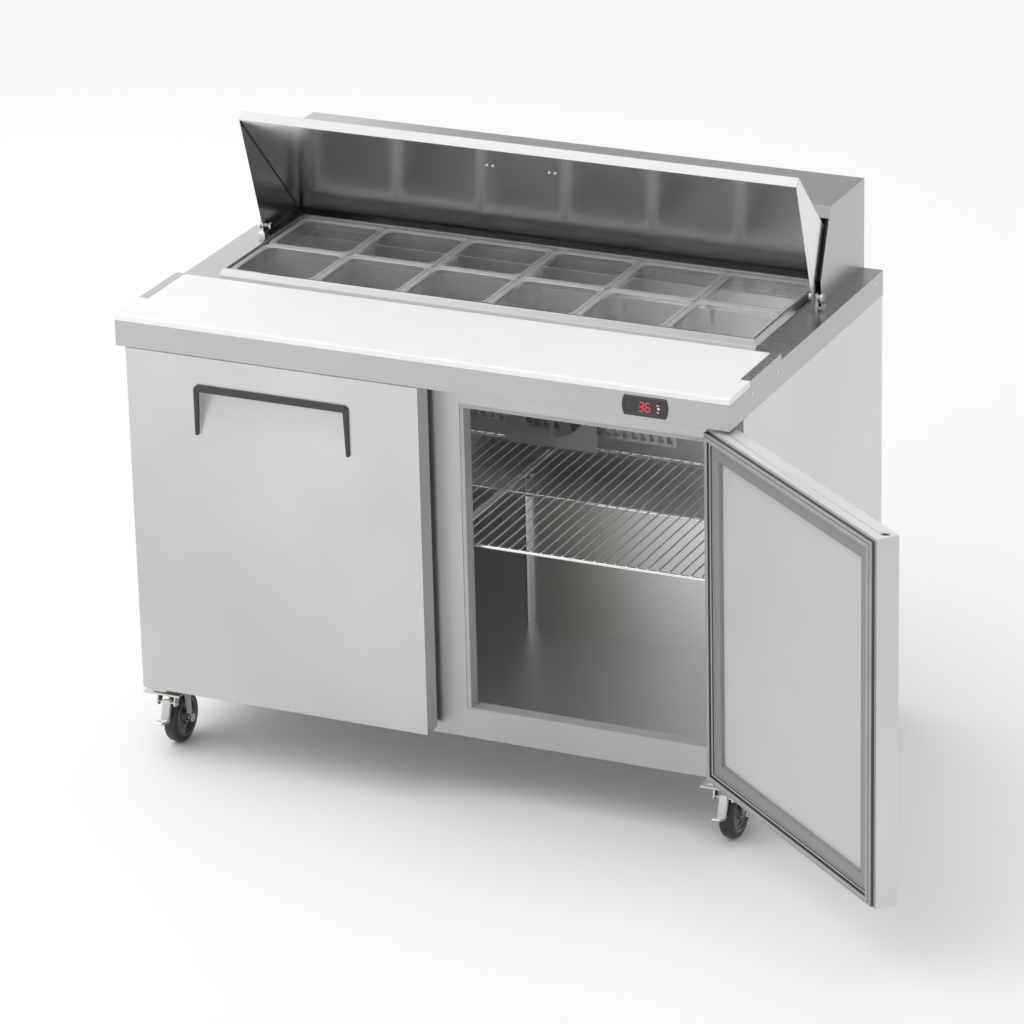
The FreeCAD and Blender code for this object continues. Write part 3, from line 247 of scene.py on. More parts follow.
foam = moulded("blown_foam", (0.82, 0.74, 0.52), 0.9, 0.08, 220.0, 0.6, 0.0008)
dress(["cabinet_foam", "lid_foam", "door_left_foam", "door_right_foam"], foam)

# ------------------------------------------------------------------ liner and breaker strips
# The inside is a stainless tub. Grey plastic strips line each door opening and keep the cold
# liner apart from the warm front frame.
dress(["inner_liner"], brushed_steel("liner_steel", 0.78, 0.38), 0.0005)
breaker_plastic = moulded("breaker_plastic", (0.47, 0.475, 0.48), 0.4, 0.04, 300.0, 0.1)
dress(["breaker_strips"], breaker_plastic, 0.001)


# ------------------------------------------------------------------ shelves and clips
# Each shelf is welded wire, plated bright, on three cross bars. It hangs on bent steel clips.
def plated(name, tone, roughness, tint=(1.0, 1.0, 0.99)):
    """Bright plating with faint smears in its gloss."""
    finish = bpy.data.materials.new(name)
    finish.use_nodes = True
    tree = finish.node_tree
    shader = tree.nodes["Principled BSDF"]
    shader.inputs["Metallic"].default_value = 1.0
    smears = noise(tree, (60, 60, 60), 3.0)
    dark = [channel * tone * 0.93 for channel in tint]
    light = [channel * tone for channel in tint]
    tree.links.new(two_tone(tree, smears, dark, light), shader.inputs["Base Color"])
    tree.links.new(spread_to(tree, smears, roughness * 0.7, roughness * 1.4), shader.inputs["Roughness"])
    return finish


chrome = plated("bright_plating", 0.86, 0.12)
dress(["wire_shelves"], chrome)
dress(["shelf_clips"], chrome, 0.0004)

# ------------------------------------------------------------------ counter
# The worktop is one heavy stainless sheet with a folded apron and a collar pressed up round the
# pan opening. Steel bars drop in between the pans.
counter_steel = brushed_steel("counter_steel", 0.46, 0.27, GRAIN_ALONG, 0.06, 0.014)
dress(["worktop"], counter_steel, 0.0006)
# The front-facing faces of the collar get a lighter, rougher copy of the counter steel: a painted highlight
# on the side of the collar that faces the front.
collar_lit_face_steel = brushed_steel("collar_lit_face_steel", 0.6, 0.4, GRAIN_ALONG, 0.03)
collar_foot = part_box("worktop")[1].z - 0.0125
second_finish("worktop", collar_lit_face_steel, lambda face: face.center.z > collar_foot and face.normal.y < -0.2)
dress(["pan_rails"], brushed_steel("bar_steel", 0.7, 0.25, GRAIN_ALONG), 0.001)


# ------------------------------------------------------------------ cutting board
# A white polyethylene board the width of the counter. Its face is grained so that food does not
# slide, and knives leave faint hair lines across it.
def cutting_board_plastic():
    finish = moulded("board_plastic", (0.9, 0.9, 0.895), 0.5, 0.012, 900.0, 0.1, 0.0001)
    tree = finish.node_tree
    shader = tree.nodes["Principled BSDF"]
    shader.inputs["Subsurface Weight"].default_value = 0.08
    shader.inputs["Subsurface Scale"].default_value = 0.004
    cuts = noise(tree, (6, 900, 6), 1.0)
    grained = shader.inputs["Normal"].links[0].from_socket
    scored = tree.nodes.new("ShaderNodeBump")
    scored.inputs["Strength"].default_value = 0.08
    scored.inputs["Distance"].default_value = 0.0001
    tree.links.new(spread_to(tree, cuts, 1, 0, 0.62, 0.72), scored.inputs["Height"])
    tree.links.new(grained, scored.inputs["Normal"])
    tree.links.new(scored.outputs["Normal"], shader.inputs["Normal"])
    return finish


dress(["cutting_board"], cutting_board_plastic(), 0.0012)


# ------------------------------------------------------------------ food pans
# Twelve one-sixth pans of clear polycarbonate, moulded in one piece: a flat rim with round
# corners, a stacking shoulder, tapered walls and a rounded floor.
def piece(name, rings, finish, slot, body, closed=True, smooth=35, rounds=True):
    """A mesh skinned over rings of equal length. closed caps both ends."""
    mesh = bpy.data.meshes.new(name)
    count = len(rings[0])
    corners = [point for ring in rings for point in ring]
    faces = []
    for low in range(len(rings) - 1):
        for step in range(count if rounds else count - 1):
            a, b = low * count + step, low * count + (step + 1) % count
            faces.append((a, b, b + count, a + count))
    if closed:
        faces.append(tuple(reversed(range(count))))
        faces.append(tuple(range((len(rings) - 1) * count, len(rings) * count)))
    mesh.from_pydata([tuple(corner) for corner in corners], [], faces)
    return finished(name, mesh, finish, body, smooth)


def finished(name, mesh, finish, body, smooth=35):
    """Turn faces outwards, round the shading below an angle, and hang the piece on its body."""
    shape = bmesh.new()
    shape.from_mesh(mesh)
    bmesh.ops.recalc_face_normals(shape, faces=shape.faces)
    for edge in shape.edges:
        edge.smooth = edge.is_manifold and edge.calc_face_angle(0) < math.radians(smooth)
    for face in shape.faces:
        face.smooth = True
    shape.to_mesh(mesh)
    shape.free()
    mesh.materials.append(finish)
    made = bpy.data.objects.new(name, mesh)
    bpy.context.scene.collection.objects.link(made)
    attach(made, body)
    return made


def rounded(half_x, half_y, radius, steps=7):
    """Corner points of a rectangle with round corners, anticlockwise from the right."""
    points = []
    for corner, (sx, sy) in enumerate(((1, 1), (-1, 1), (-1, -1), (1, -1))):
        for step in range(steps + 1):
            angle = math.pi / 2 * (corner + step / steps)
            points.append((sx * (half_x - radius) + radius * math.cos(angle),
                           sy * (half_y - radius) + radius * math.sin(angle)))
    return points


def clear_plastic(name, body):
    """Thin clear plastic: body is the share of light that its haze and gloss keep."""
    finish = bpy.data.materials.new(name)
    finish.use_nodes = True
    tree = finish.node_tree
    shader = tree.nodes["Principled BSDF"]
    shader.inputs["Alpha"].default_value = body
    shader.inputs["IOR"].default_value = 1.6
    shader.inputs["Specular IOR Level"].default_value = 1.0
    scuffs = noise(tree, (40, 40, 40), 4.0)
    tone = two_tone(tree, scuffs, (0.78, 0.8, 0.8), (0.86, 0.88, 0.88))
    tree.links.new(tone, shader.inputs["Base Color"])
    tree.links.new(spread_to(tree, scuffs, 0.03, 0.09), shader.inputs["Roughness"])
    return finish


polycarbonate = clear_plastic("clear_polycarbonate", 0.13)
# The rims are thicker and so less clear, and they are made more opaque still so that they read white:
# partly real, partly a painted highlight along the rims.
thick_rim_highlight = clear_plastic("polycarbonate_rim_highlight", 0.5)
PAN_RIM, PAN_WALL, PAN_SHOULDER, PAN_TAPER = 0.009, 0.0025, 0.0022, 0.0068
for column in range(1, 7):
    low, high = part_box(f"food_pans_{column}")
    middle_x, half_x = (low.x + high.x) / 2, (high.x - low.x) / 2
    half_y = (high.y - low.y) / 4 - 0.0003
    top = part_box("pan_rails")[1].z + 0.004
    depth = top - low.z
    for row, middle_y in (("front", low.y + half_y), ("rear", high.y - half_y)):
        taper_end = PAN_RIM + PAN_SHOULDER + PAN_TAPER
        inner_end = taper_end + PAN_WALL
        floor_edge = PAN_RIM + PAN_WALL + PAN_TAPER
        # each ring: distance in from the rim's edge, corner radius, height from the rim's top
        outline = [
            (taper_end + 0.014, 0.012, -depth),
            (taper_end + 0.004, 0.014, -depth + 0.002),
            (taper_end, 0.016, -depth + 0.009),
            (PAN_RIM + PAN_SHOULDER, 0.018, -0.019),
            (PAN_RIM, 0.02, -0.016),
            (PAN_RIM - 0.0005, 0.02, -0.004),
            (0.0002, 0.012, -0.0036),
            (0, 0.012, -0.0016),
            (0.0012, 0.012, 0),
            (0.004, 0.013, -0.0006),
            (PAN_RIM - 0.001, 0.02, -0.0006),
            (PAN_RIM + PAN_WALL - 0.001, 0.018, -0.0025),
            (PAN_RIM + PAN_WALL, 0.018, -0.015),
            (PAN_RIM + PAN_WALL + PAN_SHOULDER, 0.0165, -0.018),
            (inner_end, 0.014, -depth + 0.011),
            (floor_edge + 0.006, 0.012, -depth + 0.0045),
            (floor_edge + 0.016, 0.01, -depth + 0.0027),
        ]
        rings = [
            [
                (middle_x + x, middle_y + y, top + z)
                for x, y in rounded(half_x - inset, half_y - inset, radius)
            ]
            for inset, radius, z in outline
        ]
        pan = piece(f"pan_{row}_{column}", rings, polycarbonate, "pan_plastic", f"food_pans_{column}",
                    smooth=50)
        pan.data.materials.append(thick_rim_highlight)
        for face in pan.data.polygons:
            face.material_index = int(face.center.z > top - 0.0035)
        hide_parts(f"food_pans_{column}")

# ------------------------------------------------------------------ hood and its seals
# The hood is a folded stainless box open at the front, with a turned-down lip along its top edge.
# Black rubber strips close the gap between its cheeks and the lid's wings.
hood_steel = brushed_steel("hood_steel", 0.46, 0.3, GRAIN_ALONG)
dress(["rear_hood"], hood_steel, 0.0005)
black_rubber = moulded("black_rubber", (0.018, 0.018, 0.019), 0.62, 0.1, 500.0, 0.25)
dress(["hood_seals"], black_rubber, 0.0015)

# ------------------------------------------------------------------ lid
# Two stainless skins round foam, with a wing folded down at each end. The lining is polished and
# mirrors the pans. Two pairs of small nuts hold the pull handle on the other side.
dress(["lid_outer_skin"], brushed_steel("lid_steel", 0.5, 0.36, GRAIN_ALONG), 0.0005)
lining_steel = brushed_steel("lining_steel", 0.8, 0.2, GRAIN_UP, 0.05, 0.03)
dress(["lid_inner_skin"], lining_steel, 0.0004)

skin_low, skin_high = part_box("lid_outer_skin")
inner_low, inner_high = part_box("lid_inner_skin")
LID_THICK = 0.02
LEAN = math.radians(-46.85)
along_lid = Vector((0, math.cos(LEAN), math.sin(LEAN)))
out_of_lid = Vector((0, -math.sin(LEAN), math.cos(LEAN)))
lid_corner = Vector((0, skin_low.y, skin_high.z)) - LID_THICK * out_of_lid
lid_corner.y = skin_low.y


def on_lid(x, reach, height):
    """A point of the lid: reach along its face from the front lip, height out of its lining."""
    return Vector((x, 0, 0)) + lid_corner + reach * along_lid + height * out_of_lid


def turned_about(centre, axis, profile, steps=24, phase=0.0):
    """Rings of a turned shape: profile is (radius, distance along axis)."""
    axis = axis.normalized()
    first = axis.orthogonal().normalized()
    second = axis.cross(first)
    rings = []
    for radius, reach in profile:
        ring = []
        for step in range(steps):
            angle = phase + 2 * math.pi * step / steps
            spoke = math.cos(angle) * first + math.sin(angle) * second
            ring.append(centre + reach * axis + radius * spoke)
        rings.append(ring)
    return rings


HANDLE_SPAN, HANDLE_REACH, HANDLE_RISE, HANDLE_RADIUS = 0.127, 0.062, 0.019, 0.0055
for side, sign in SIDES.items():
    for pair, offset in enumerate((-0.006, 0.006)):
        spot = on_lid(sign * HANDLE_SPAN / 2 + offset, HANDLE_REACH, 0)
        dome = [(0.0032, 0.0), (0.0032, 0.0008), (0.0028, 0.0018), (0.0018, 0.0026), (0.0004, 0.0029)]
        piece(f"handle_nut_{side}_{pair + 1}", turned_about(spot, -out_of_lid, dome, 18), chrome,
              "bright_steel", "lid")


def swept(points, radius, steps=14):
    """Rings of a round bar that follows points."""
    rings = []
    side_way = None
    for index, point in enumerate(points):
        before, after = points[max(index - 1, 0)], points[min(index + 1, len(points) - 1)]
        way = (after - before).normalized()
        side_way = way.orthogonal() if side_way is None else side_way - side_way.dot(way) * way
        side_way.normalize()
        other = way.cross(side_way)
        angles = [2 * math.pi * step / steps for step in range(steps)]
        rings.append([
            point + radius * (math.cos(angle) * side_way + math.sin(angle) * other) for angle in angles
        ])
    return rings


# A thin black bead runs along the corner where the lining meets each wing: a dark line that paints the
# shade in that corner.
corner_shade_bead = moulded("corner_shade_bead", (0.03, 0.03, 0.03), 0.6, 0.1, 300.0, 0.1)
for side, sign in SIDES.items():
    seam_x = sign * (inner_high.x - 0.0016)
    seam = [on_lid(seam_x, reach / 1000, -0.0004) for reach in range(4, 330, 20)]
    piece(f"wing_corner_shade_{side}", swept(seam, 0.0013, 8), corner_shade_bead, "seal_rubber", "lid", smooth=80)

bend_radius = 0.012
bar = [on_lid(-HANDLE_SPAN / 2, HANDLE_REACH, LID_THICK + 0.0005)]
for step in range(9):
    angle = math.pi / 2 * step / 8
    bar.append(on_lid(-HANDLE_SPAN / 2 + bend_radius * (1 - math.cos(angle)), HANDLE_REACH,
                      LID_THICK + HANDLE_RISE - bend_radius * (1 - math.sin(angle))))
bar += [Vector((-point.x, point.y, point.z)) for point in reversed(bar)]
pull = piece("lid_pull", swept(bar, HANDLE_RADIUS), chrome, "bright_steel", "lid", smooth=60)
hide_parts("lid_handle")
for side, sign in SIDES.items():
    foot = [(0.0056, 0.0), (0.0095, 0.0), (0.0095, 0.0015), (0.0075, 0.0026), (0.0056, 0.003)]
    seat = on_lid(sign * HANDLE_SPAN / 2, HANDLE_REACH, LID_THICK)
    piece(f"pull_foot_{side}", turned_about(seat, out_of_lid, foot, 28), chrome, "bright_steel", "lid")

# ------------------------------------------------------------------ lid pivots
# A small steel post stands on the counter at each end of the lid. A plated pin with a thumb head
# goes through the post and the wing.
dress(["lid_pivot_posts"], chrome, 0.0006)

# ------------------------------------------------------------------ doors
# Each door is a stainless pan round foam, closed by a light grey moulded panel that is dished in
# the middle. Plated bushes sit in all four corners, so that it can hang from either side.
door_steel = brushed_steel("door_steel", 0.59, 0.34, GRAIN_UP, 0.14)
dress(["door_left_outer_skin", "door_right_outer_skin"], door_steel, 0.0005)
# The faces of each door skin that point straight up or down, its top and bottom ends among them, get a far
# lighter, less metallic copy of the steel: a painted highlight on those ends.
door_end_highlight_steel = brushed_steel("door_end_highlight_steel", 0.9, 0.4, GRAIN_ALONG)
door_end_highlight_steel.node_tree.nodes["Principled BSDF"].inputs["Metallic"].default_value = 0.4
for hand in SIDES:
    second_finish(f"door_{hand}_outer_skin", door_end_highlight_steel, lambda face: abs(face.normal.z) > 0.9)
panel_plastic = moulded("panel_plastic", (0.55, 0.55, 0.545), 0.34, 0.02, 260.0, 0.08)
dress(["door_left_inner_panel", "door_right_inner_panel"], panel_plastic, 0.001)
dress(["door_left_bushes", "door_right_bushes"], chrome, 0.0006)

door_low, door_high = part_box("door_left_outer_skin")
seal_low, seal_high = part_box("door_left_gasket")
swing = {joint["child"]: joint for joint in frame["joints"] if joint["child"].startswith("door_")}
open_angle = math.radians(-swing["door_right"]["range_deg"][0])
right_pin = Vector(swing["door_right"]["pos_m"])
right_pin.z = 0
hung_right = (Matrix.Translation(right_pin) @ Matrix.Rotation(open_angle, 4, "Z")
              @ Matrix.Translation(-right_pin) @ Matrix.Scale(-1, 4, Vector((1, 0, 0))))
HUNG = {"left": Matrix.Identity(4), "right": hung_right}


def door_ring(name, profile, finish, slot, hand, start=0.0, **look):
    """A mitred frame on the back of a door: profile is (distance in from the gasket's edge, height)."""
    rings = []
    for inset, rise in profile:
        inset += start
        x0, x1 = seal_low.x + inset, seal_high.x - inset
        z0, z1 = seal_low.z + inset, seal_high.z - inset
        y = door_high.y + rise
        corners = ((x0, y, z0), (x1, y, z0), (x1, y, z1), (x0, y, z1))
        rings.append([HUNG[hand] @ Vector(corner) for corner in corners])
    rings.append(rings[0])
    return piece(name, rings, finish, slot, f"door_{hand}", closed=False, **look)


left_pin = swing["door_left"]["pos_m"]
FREE_EDGE = door_high.x + door_low.x - 2 * left_pin[0]
collar = [(0.0056, 0), (0.0105, 0), (0.0105, 0.0012), (0.0088, 0.0022), (0.0078, 0.003), (0.0056, 0.003)]
for hand in SIDES:
    for place_name, reach in (("hinge", 0.0), ("free", FREE_EDGE)):
        at = HUNG[hand] @ Vector((left_pin[0] + reach, left_pin[1], door_low.z))
        rings = turned_about(at, Vector((0, 0, -1)), collar, 24)
        piece(f"bush_collar_{place_name}_{hand}", rings + [rings[0]], chrome, "bright_steel",
              f"door_{hand}", closed=False, smooth=30)

# ------------------------------------------------------------------ door gaskets
# A soft grey extrusion, welded at its corners: a magnet in the outer bulb, a bellows fold and a
# lower inner ridge. A harder grey moulding inside it covers its foot.
gasket_vinyl = moulded("gasket_vinyl", (0.36, 0.362, 0.36), 0.42, 0.05, 300.0, 0.1)
groove_shade_vinyl = moulded("groove_shade_vinyl", (0.06, 0.06, 0.06), 0.6, 0.05, 300.0, 0.1)
retainer_plastic = moulded("retainer_plastic", (0.26, 0.26, 0.255), 0.45, 0.03, 300.0, 0.08)
GASKET = [
    (0, 0.0002), (0, 1.6), (1.0, 2.4), (2.1, 2.6),
    (2.3, 7.4), (3.1, 9.1), (4.5, 9.8), (6.3, 9.9), (7.1, 9.2), (7.5, 6.8), (8.5, 6.8),
    (8.7, 10.6), (9.6, 11.6), (11.0, 11.85), (14.0, 11.85), (15.2, 11.3), (15.8, 10.0), (15.9, 2.4),
    (18.0, 2.4), (18.1, 6.0), (18.9, 7.4), (20.1, 7.9), (21.1, 7.4), (21.8, 6.0), (22.0, 3.6),
    (23.8, 3.0), (24.0, 0.0002),
]
# The faces in the low grooves of the profile are painted near black: painted shade in the grooves, not a
# second colour of vinyl.
SHADED_GROOVES = (2, 3, 9, 16, 17, 23)
RETAINER = [
    (24.3, 0.0002), (24.3, 2.6), (25.0, 3.2), (26.6, 3.2), (27.2, 2.4),
    (43.4, 2.4), (44.2, 3.0), (45.6, 2.6), (47.4, -4.3), (47.4, -4.6), (45.6, -4.6), (45.2, 0.0002),
]
gasket_profile = [(inset / 1000, rise / 1000) for inset, rise in GASKET]
cover_profile = [(inset / 1000, rise / 1000) for inset, rise in RETAINER]
for hand in SIDES:
    seal = door_ring(f"gasket_{hand}", gasket_profile, gasket_vinyl, "seal_rubber", hand, smooth=50)
    seal.data.materials.append(groove_shade_vinyl)
    for index, face in enumerate(seal.data.polygons):
        face.material_index = int(index // 4 in SHADED_GROOVES)
    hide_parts(f"door_{hand}_gasket")
    door_ring(f"gasket_cover_{hand}", cover_profile, retainer_plastic, "breaker_plastic", hand, smooth=30)

# ------------------------------------------------------------------ door handles
# A black nylon trim frames the top and sides of a scooped recess. Fingers go up behind its bar.
handle_nylon = moulded("handle_nylon", (0.035, 0.036, 0.038), 0.4, 0.06, 700.0, 0.3, 0.00015)
dress(["door_left_handle", "door_right_handle"], handle_nylon, 0.0016, 3)

# ------------------------------------------------------------------ hinge brackets
# Bright zinc plated brackets with pins, screwed to the frame above and below each door.
zinc = plated("zinc_plating", 0.66, 0.3, (1.0, 0.99, 0.96))
dress(["hinge_brackets"], zinc, 0.0005)

# ------------------------------------------------------------------ controller
# A glossy black front with bowed ends clips into the apron. Behind its window a red two-digit
# display glows, and beside it are an up key, a down key and a lamp.
gloss_black = moulded("controller_gloss", (0.012, 0.012, 0.013), 0.16, 0.1, 200.0, 0.02, 0.00005, 0.5)
face_low, face_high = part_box("controller")
face_x, face_z = (face_low.x + face_high.x) / 2, (face_low.z + face_high.z) / 2
face_half, face_tall = (face_high.x - face_low.x) / 2, (face_high.z - face_low.z) / 2
BOW, BOW_POWER = 0.004, 2.4


def bowed(shrink, y):
    """One ring of the controller's front: straight top and bottom, ends bowed outwards."""
    ring = []
    for sign, start in ((1, -1), (-1, 1)):
        for step in range(13):
            share = start * (1 - step / 6)
            ease = 1 - abs(share) ** BOW_POWER
            x = face_x + sign * (face_half - BOW - shrink + BOW * ease)
            ring.append((x, y, face_z + (face_tall - shrink) * share))
    return ring


front = face_low.y
face_steps = [
    (0, 0.003), (0, 0.001), (0.0008, 0.0002), (0.002, 0),
    (0.005, 0), (0.0056, 0.0008), (0.0062, 0.0008),
]
face_rings = [bowed(shrink, front + back) for shrink, back in face_steps]
bezel = piece("controller_face", face_rings, gloss_black, "control_plastic", "cabinet", smooth=30)
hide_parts("controller")
box_rings = [
    [(face_x + x, y, face_z + z) for x, z in rounded(face_half - 0.005, face_tall - 0.005, 0.002, 3)]
    for y in (front + 0.003, face_high.y - 0.001, face_high.y)
]
piece("controller_case", box_rings, handle_nylon, "control_plastic", "cabinet", smooth=30)


def glow(name, colour, strength):
    """A lit surface with a slight unevenness in its colour."""
    finish = bpy.data.materials.new(name)
    finish.use_nodes = True
    tree = finish.node_tree
    shader = tree.nodes["Principled BSDF"]
    uneven = noise(tree, (300, 300, 300), 1.0)
    tone = two_tone(tree, uneven, [channel * 0.8 for channel in colour], colour)
    tree.links.new(tone, shader.inputs["Base Color"])
    tree.links.new(tone, shader.inputs["Emission Color"])
    shader.inputs["Emission Strength"].default_value = strength
    shader.inputs["Roughness"].default_value = 0.4
    return finish


def flat_shape(name, outlines, y, finish, body, thick=0.0004):
    """Thin raised figures facing forwards, one prism for each (x, z) outline."""
    shape = bmesh.new()
    for outline in outlines:
        near = [shape.verts.new((x, y - thick, z)) for x, z in outline]
        far = [shape.verts.new((x, y, z)) for x, z in outline]
        shape.faces.new(near)
        shape.faces.new(list(reversed(far)))
        for step in range(len(outline)):
            after = (step + 1) % len(outline)
            shape.faces.new((near[step], near[after], far[after], far[step]))
    mesh = bpy.data.meshes.new(name)
    shape.to_mesh(mesh)
    shape.free()
    return finished(name, mesh, finish, body, 20)


DIGIT_WIDE, DIGIT_TALL, STROKE, SLANT = 0.0085, 0.0165, 0.0019, 0.10
SEGMENTS = {
    "a": (0, 1, 1, 1), "b": (1, 1, 1, 0.5), "c": (1, 0.5, 1, 0), "d": (0, 0, 1, 0),
    "e": (0, 0, 0, 0.5), "f": (0, 0.5, 0, 1), "g": (0, 0.5, 1, 0.5),
}
SHOWN = {"3": "abcdg", "6": "acdefg"}


def digit(figure, x, z):
    """Outlines of the lit bars of one slanted seven-bar figure."""
    bars = []
    for bar_name in SHOWN[figure]:
        x0, z0, x1, z1 = SEGMENTS[bar_name]
        start = Vector((x0 * DIGIT_WIDE, z0 * DIGIT_TALL))
        end = Vector((x1 * DIGIT_WIDE, z1 * DIGIT_TALL))
        way = (end - start).normalized()
        side_step = Vector((-way.y, way.x)) * STROKE / 2
        start, end = start + way * 0.0004, end - way * 0.0004
        tip = way * STROKE / 2
        bar_points = [start, start + tip + side_step, end - tip + side_step, end, end - tip - side_step,
                      start + tip - side_step]
        bars.append([(x + point.x + SLANT * point.y, z + point.y) for point in bar_points])
    return bars


red_glow = glow("display_red", (0.75, 0.03, 0.07), 0.7)
display_y = front + 0.0007
figures_z = face_z - DIGIT_TALL / 2
figures = digit("3", face_x - 0.012, figures_z) + digit("6", face_x + 0.001, figures_z)
flat_shape("display_figures", figures, display_y, red_glow, "cabinet")
lamp_angles = [math.pi * step / 8 for step in range(16)]
LAMP_AT, LAMP_RADIUS = 0.0265, 0.0022
lamp_spot = [
    (face_x + LAMP_AT + LAMP_RADIUS * math.cos(angle), face_z + LAMP_RADIUS * math.sin(angle))
    for angle in lamp_angles
]
flat_shape("running_lamp", [lamp_spot], display_y, glow("lamp_red", (1.0, 0.25, 0.22), 2.0), "cabinet")

key_rubber = moulded("key_rubber", (0.03, 0.03, 0.032), 0.35, 0.05, 500.0, 0.1)
# The key arrows are white print; their faint glow is painted brightness, for the keys are not lit.
arrow_painted_glow = glow("key_mark_painted_glow", (0.85, 0.85, 0.85), 0.25)
ARROW = [
    (-0.0026, -0.0013), (0, 0.0013), (0.0026, -0.0013),
    (0.0026, -0.0001), (0, 0.0025), (-0.0026, -0.0001),
]
for key, way in (("key_up", 1), ("key_down", -1)):
    low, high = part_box(key)
    middle = (low + high) / 2
    half = (high.x - low.x) / 2
    rings = [
        [(middle.x + x, y, middle.z + z) for x, z in rounded(half - shrink, half - shrink, 0.0015, 4)]
        for shrink, y in ((0, high.y), (0, low.y + 0.0006), (0.0003, low.y + 0.0002), (0.0009, low.y))
    ]
    cap = piece(f"{key}_cap", rings, key_rubber, "control_plastic", key, smooth=40)
    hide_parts(key)
    arrow = [(middle.x + x, middle.z + way * (z - 0.0006)) for x, z in ARROW]
    flat_shape(f"{key}_arrow", [arrow], low.y + 0.0001, arrow_painted_glow, key, 0.0002)

# ------------------------------------------------------------------ cooling unit
# The evaporator and its fan hang at the back of the inside. The compressor, a black welded can,
# and the condenser with its fan stand in the rear compartment below.
dress(["evaporator", "condenser"], brushed_steel("fin_aluminium", 0.72, 0.4, (4, 4, 500)))
dress(["evaporator_fan", "condenser_fan"], brushed_steel("fan_aluminium", 0.62, 0.35, (90, 90, 90)), 0.0003)
dress(["compressor"], moulded("compressor_paint", (0.02, 0.02, 0.021), 0.32, 0.15, 90.0, 0.2, 0.0002, 0.3))


# ------------------------------------------------------------------ back grille and inlet
# A galvanised cover with pressed louvres screws over the machine compartment. Each louvre is a
# lip pushed in above its slot. The mains inlet is a black socket with three pins.
dress(["rear_grille"], galvanised)
dress(["power_inlet"], handle_nylon, 0.0006)
grille_low, grille_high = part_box("rear_grille")
LOUVRE_ROWS, LOUVRE_PITCH, LOUVRE_FIRST, LOUVRE_LENGTH = 12, 0.018, 0.057, 0.22
LIP_RADIUS = 0.009
lips = bmesh.new()
for middle_x in (-0.4, -0.13, 0.2):
    for step in range(LOUVRE_ROWS):
        slot_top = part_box("base_panel")[0].z + LOUVRE_FIRST + step * LOUVRE_PITCH
        curve = [(grille_low.y, slot_top + 0.0002)]
        curve += [
            (grille_low.y - LIP_RADIUS * math.sin(bend), slot_top - LIP_RADIUS * (1 - math.cos(bend)))
            for bend in (0.35, 0.7, 1.05)
        ]
        back = [(y - 0.0008, z + 0.0005) for y, z in reversed(curve)]
        ends = [
            [lips.verts.new((middle_x + sign * LOUVRE_LENGTH / 2, y, z)) for y, z in curve + back]
            for sign in (-1, 1)
        ]
        lips.faces.new(list(reversed(ends[0])))
        lips.faces.new(ends[1])
        for point in range(len(ends[0])):
            after = (point + 1) % len(ends[0])
            lips.faces.new((ends[0][point], ends[0][after], ends[1][after], ends[1][point]))
lip_mesh = bpy.data.meshes.new("louvre_lips")
lips.to_mesh(lip_mesh)
lips.free()
finished("louvre_lips", lip_mesh, galvanised, "cabinet", 40)


# ------------------------------------------------------------------ screws
# Pan-head screws with a cross recess hold the counter to the cabinet sides and the cover to the
# back. They are all one bright plated kind.
def screw_heads():
    """The centre and outward direction of every screw, read from the loose rods of the node."""
    shape = bmesh.new()
    shape.from_mesh(frame["nodes"]["screws"].data)
    bmesh.ops.remove_doubles(shape, verts=shape.verts, dist=0.00001)
    seen, heads = set(), []
    for vert in shape.verts:
        if vert in seen:
            continue
        group, front_line = [], [vert]
        while front_line:
            here = front_line.pop()
            if here in seen:
                continue
            seen.add(here)
            group.append(here.co.copy())
            front_line += [edge.other_vert(here) for edge in here.link_edges]
        low = Vector([min(point[axis] for point in group) for axis in range(3)])
        high = Vector([max(point[axis] for point in group) for axis in range(3)])
        centre, span = (low + high) / 2, high - low
        thin = min(range(3), key=lambda axis: span[axis])
        out = Vector((0, 0, 0))
        out[thin] = 1 if centre[thin] > 0 else -1
        heads.append((centre, out, max(span) / 2, span[thin]))
    shape.free()
    return heads


SCREW_STEPS = 20
screws = bmesh.new()
for centre, out, radius, thick in screw_heads():
    base = centre - out * thick / 2
    dome = ((1, 0), (1, 0.35), (0.93, 0.7), (0.7, 0.93), (0.4, 1))
    profile = [(radius * wide, thick * reach) for wide, reach in dome]
    rings = [
        [screws.verts.new(point) for point in ring]
        for ring in turned_about(base, out, profile, SCREW_STEPS)
    ]
    for inner, outer in zip(rings, rings[1:]):
        for step in range(SCREW_STEPS):
            after = (step + 1) % SCREW_STEPS
            screws.faces.new((inner[step], inner[after], outer[after], outer[step]))
    hub = []
    for step, vert in enumerate(rings[-1]):
        sunk, drawn_in = (0.45, 0.05) if step % 5 == 0 else (0.0, 0.26)
        inwards = (base + out * thick - vert.co).normalized()
        hub.append(screws.verts.new(vert.co - out * thick * sunk + inwards * radius * drawn_in))
    middle = screws.verts.new(base + out * thick * 0.5)
    for step in range(SCREW_STEPS):
        after = (step + 1) % SCREW_STEPS
        screws.faces.new((rings[-1][step], rings[-1][after], hub[after], hub[step]))
        screws.faces.new((hub[step], hub[after], middle))
    screws.faces.new(list(reversed(rings[0])))
screw_mesh = bpy.data.meshes.new("screw_heads")
screws.to_mesh(screw_mesh)
screws.free()
heads = finished("screw_heads", screw_mesh, chrome, "cabinet", 40)
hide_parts("screws")

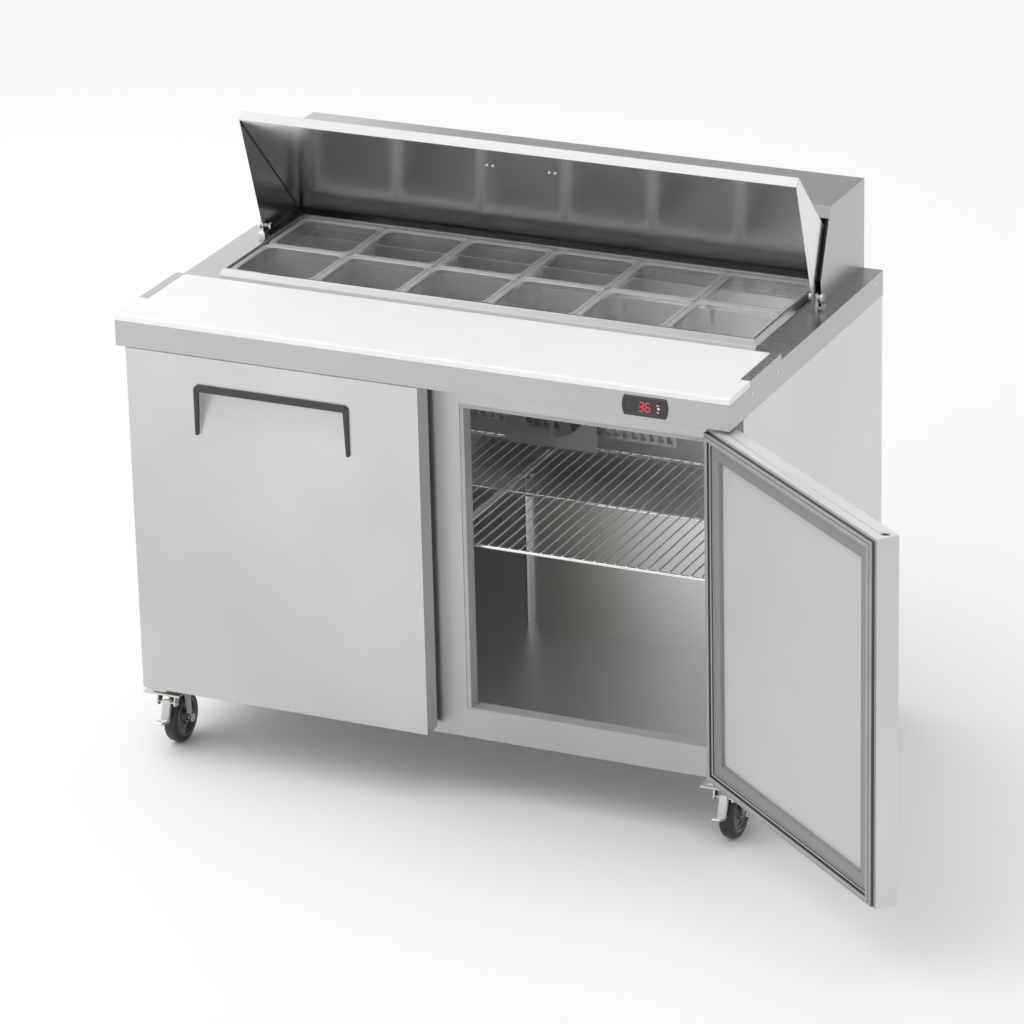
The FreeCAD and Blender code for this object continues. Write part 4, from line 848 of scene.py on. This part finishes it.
# ------------------------------------------------------------------ casters
# A bolted top plate with a ball race, a pressed zinc fork and a black wheel: a hard grey-black
# hub in a rounded rubber tread, on a bolt with a nut. The front pair has brake pedals.
dress(["caster_plates", "brake_pedal_left", "brake_pedal_right"], zinc, 0.0008)
tread_rubber = moulded("tread_rubber", (0.02, 0.02, 0.021), 0.42, 0.08, 250.0, 0.15)
hub_plastic = moulded("hub_plastic", (0.045, 0.045, 0.048), 0.2, 0.06, 300.0, 0.04, 0.0001, 0.6)
TREAD = [(36, -12.6), (39.5, -12.8), (44.5, -13.2), (47.2, -11.8), (49.0, -9.4), (49.8, -5), (50, 0)]
HUB = [
    (5.1, -15), (11.5, -15), (13, -14.2), (14.2, -10.6), (16, -9.2), (29.5, -8.2),
    (31.8, -9.6), (33.2, -13.2), (34.6, -14.6), (37.6, -14.6), (39.0, -13.2),
]
NUT = [(0.0088, 0), (0.0088, 0.0034), (0.0078, 0.0042), (0.0052, 0.0042), (0.0048, 0.0036), (0.002, 0.0036)]


def both_halves(profile):
    """A wheel profile in millimetres, given for one face, made whole and turned into metres."""
    whole = profile + [(radius, -reach) for radius, reach in reversed(profile) if reach]
    return [(radius / 1000, reach / 1000) for radius, reach in whole]


for end in ("front", "rear"):
    for hand in SIDES:
        dress([f"caster_fork_{end}_{hand}"], zinc, 0.0008)
        low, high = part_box(f"caster_wheel_{end}_{hand}")
        axle = (low + high) / 2
        along = Vector((1, 0, 0))
        tread_rings = turned_about(axle, along, both_halves(TREAD), 64)
        tread = piece(f"tread_{end}_{hand}", tread_rings + [tread_rings[0]], tread_rubber, "wheel_rubber",
                      f"wheel_{end}_{hand}", closed=False, smooth=40)
        hub_rings = turned_about(axle, along, both_halves(HUB), 64)
        hub = piece(f"hub_{end}_{hand}", hub_rings + [hub_rings[0]], hub_plastic, "wheel_rubber",
                    f"wheel_{end}_{hand}", closed=False, smooth=32)
        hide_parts(f"caster_wheel_{end}_{hand}")
        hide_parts(f"caster_wheel_{end}_{hand}")
        fork_low, fork_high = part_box(f"caster_fork_{end}_{hand}")
        for sign, reach in ((-1, fork_low.x), (1, fork_high.x)):
            seat = Vector((reach - sign * 0.0042, axle.y, axle.z))
            face_name = "inner" if sign < 0 else "outer"
            piece(f"axle_nut_{end}_{hand}_{face_name}", turned_about(seat, sign * along, NUT, 6), chrome,
                  "zinc_steel", f"caster_{end}_{hand}", smooth=20)
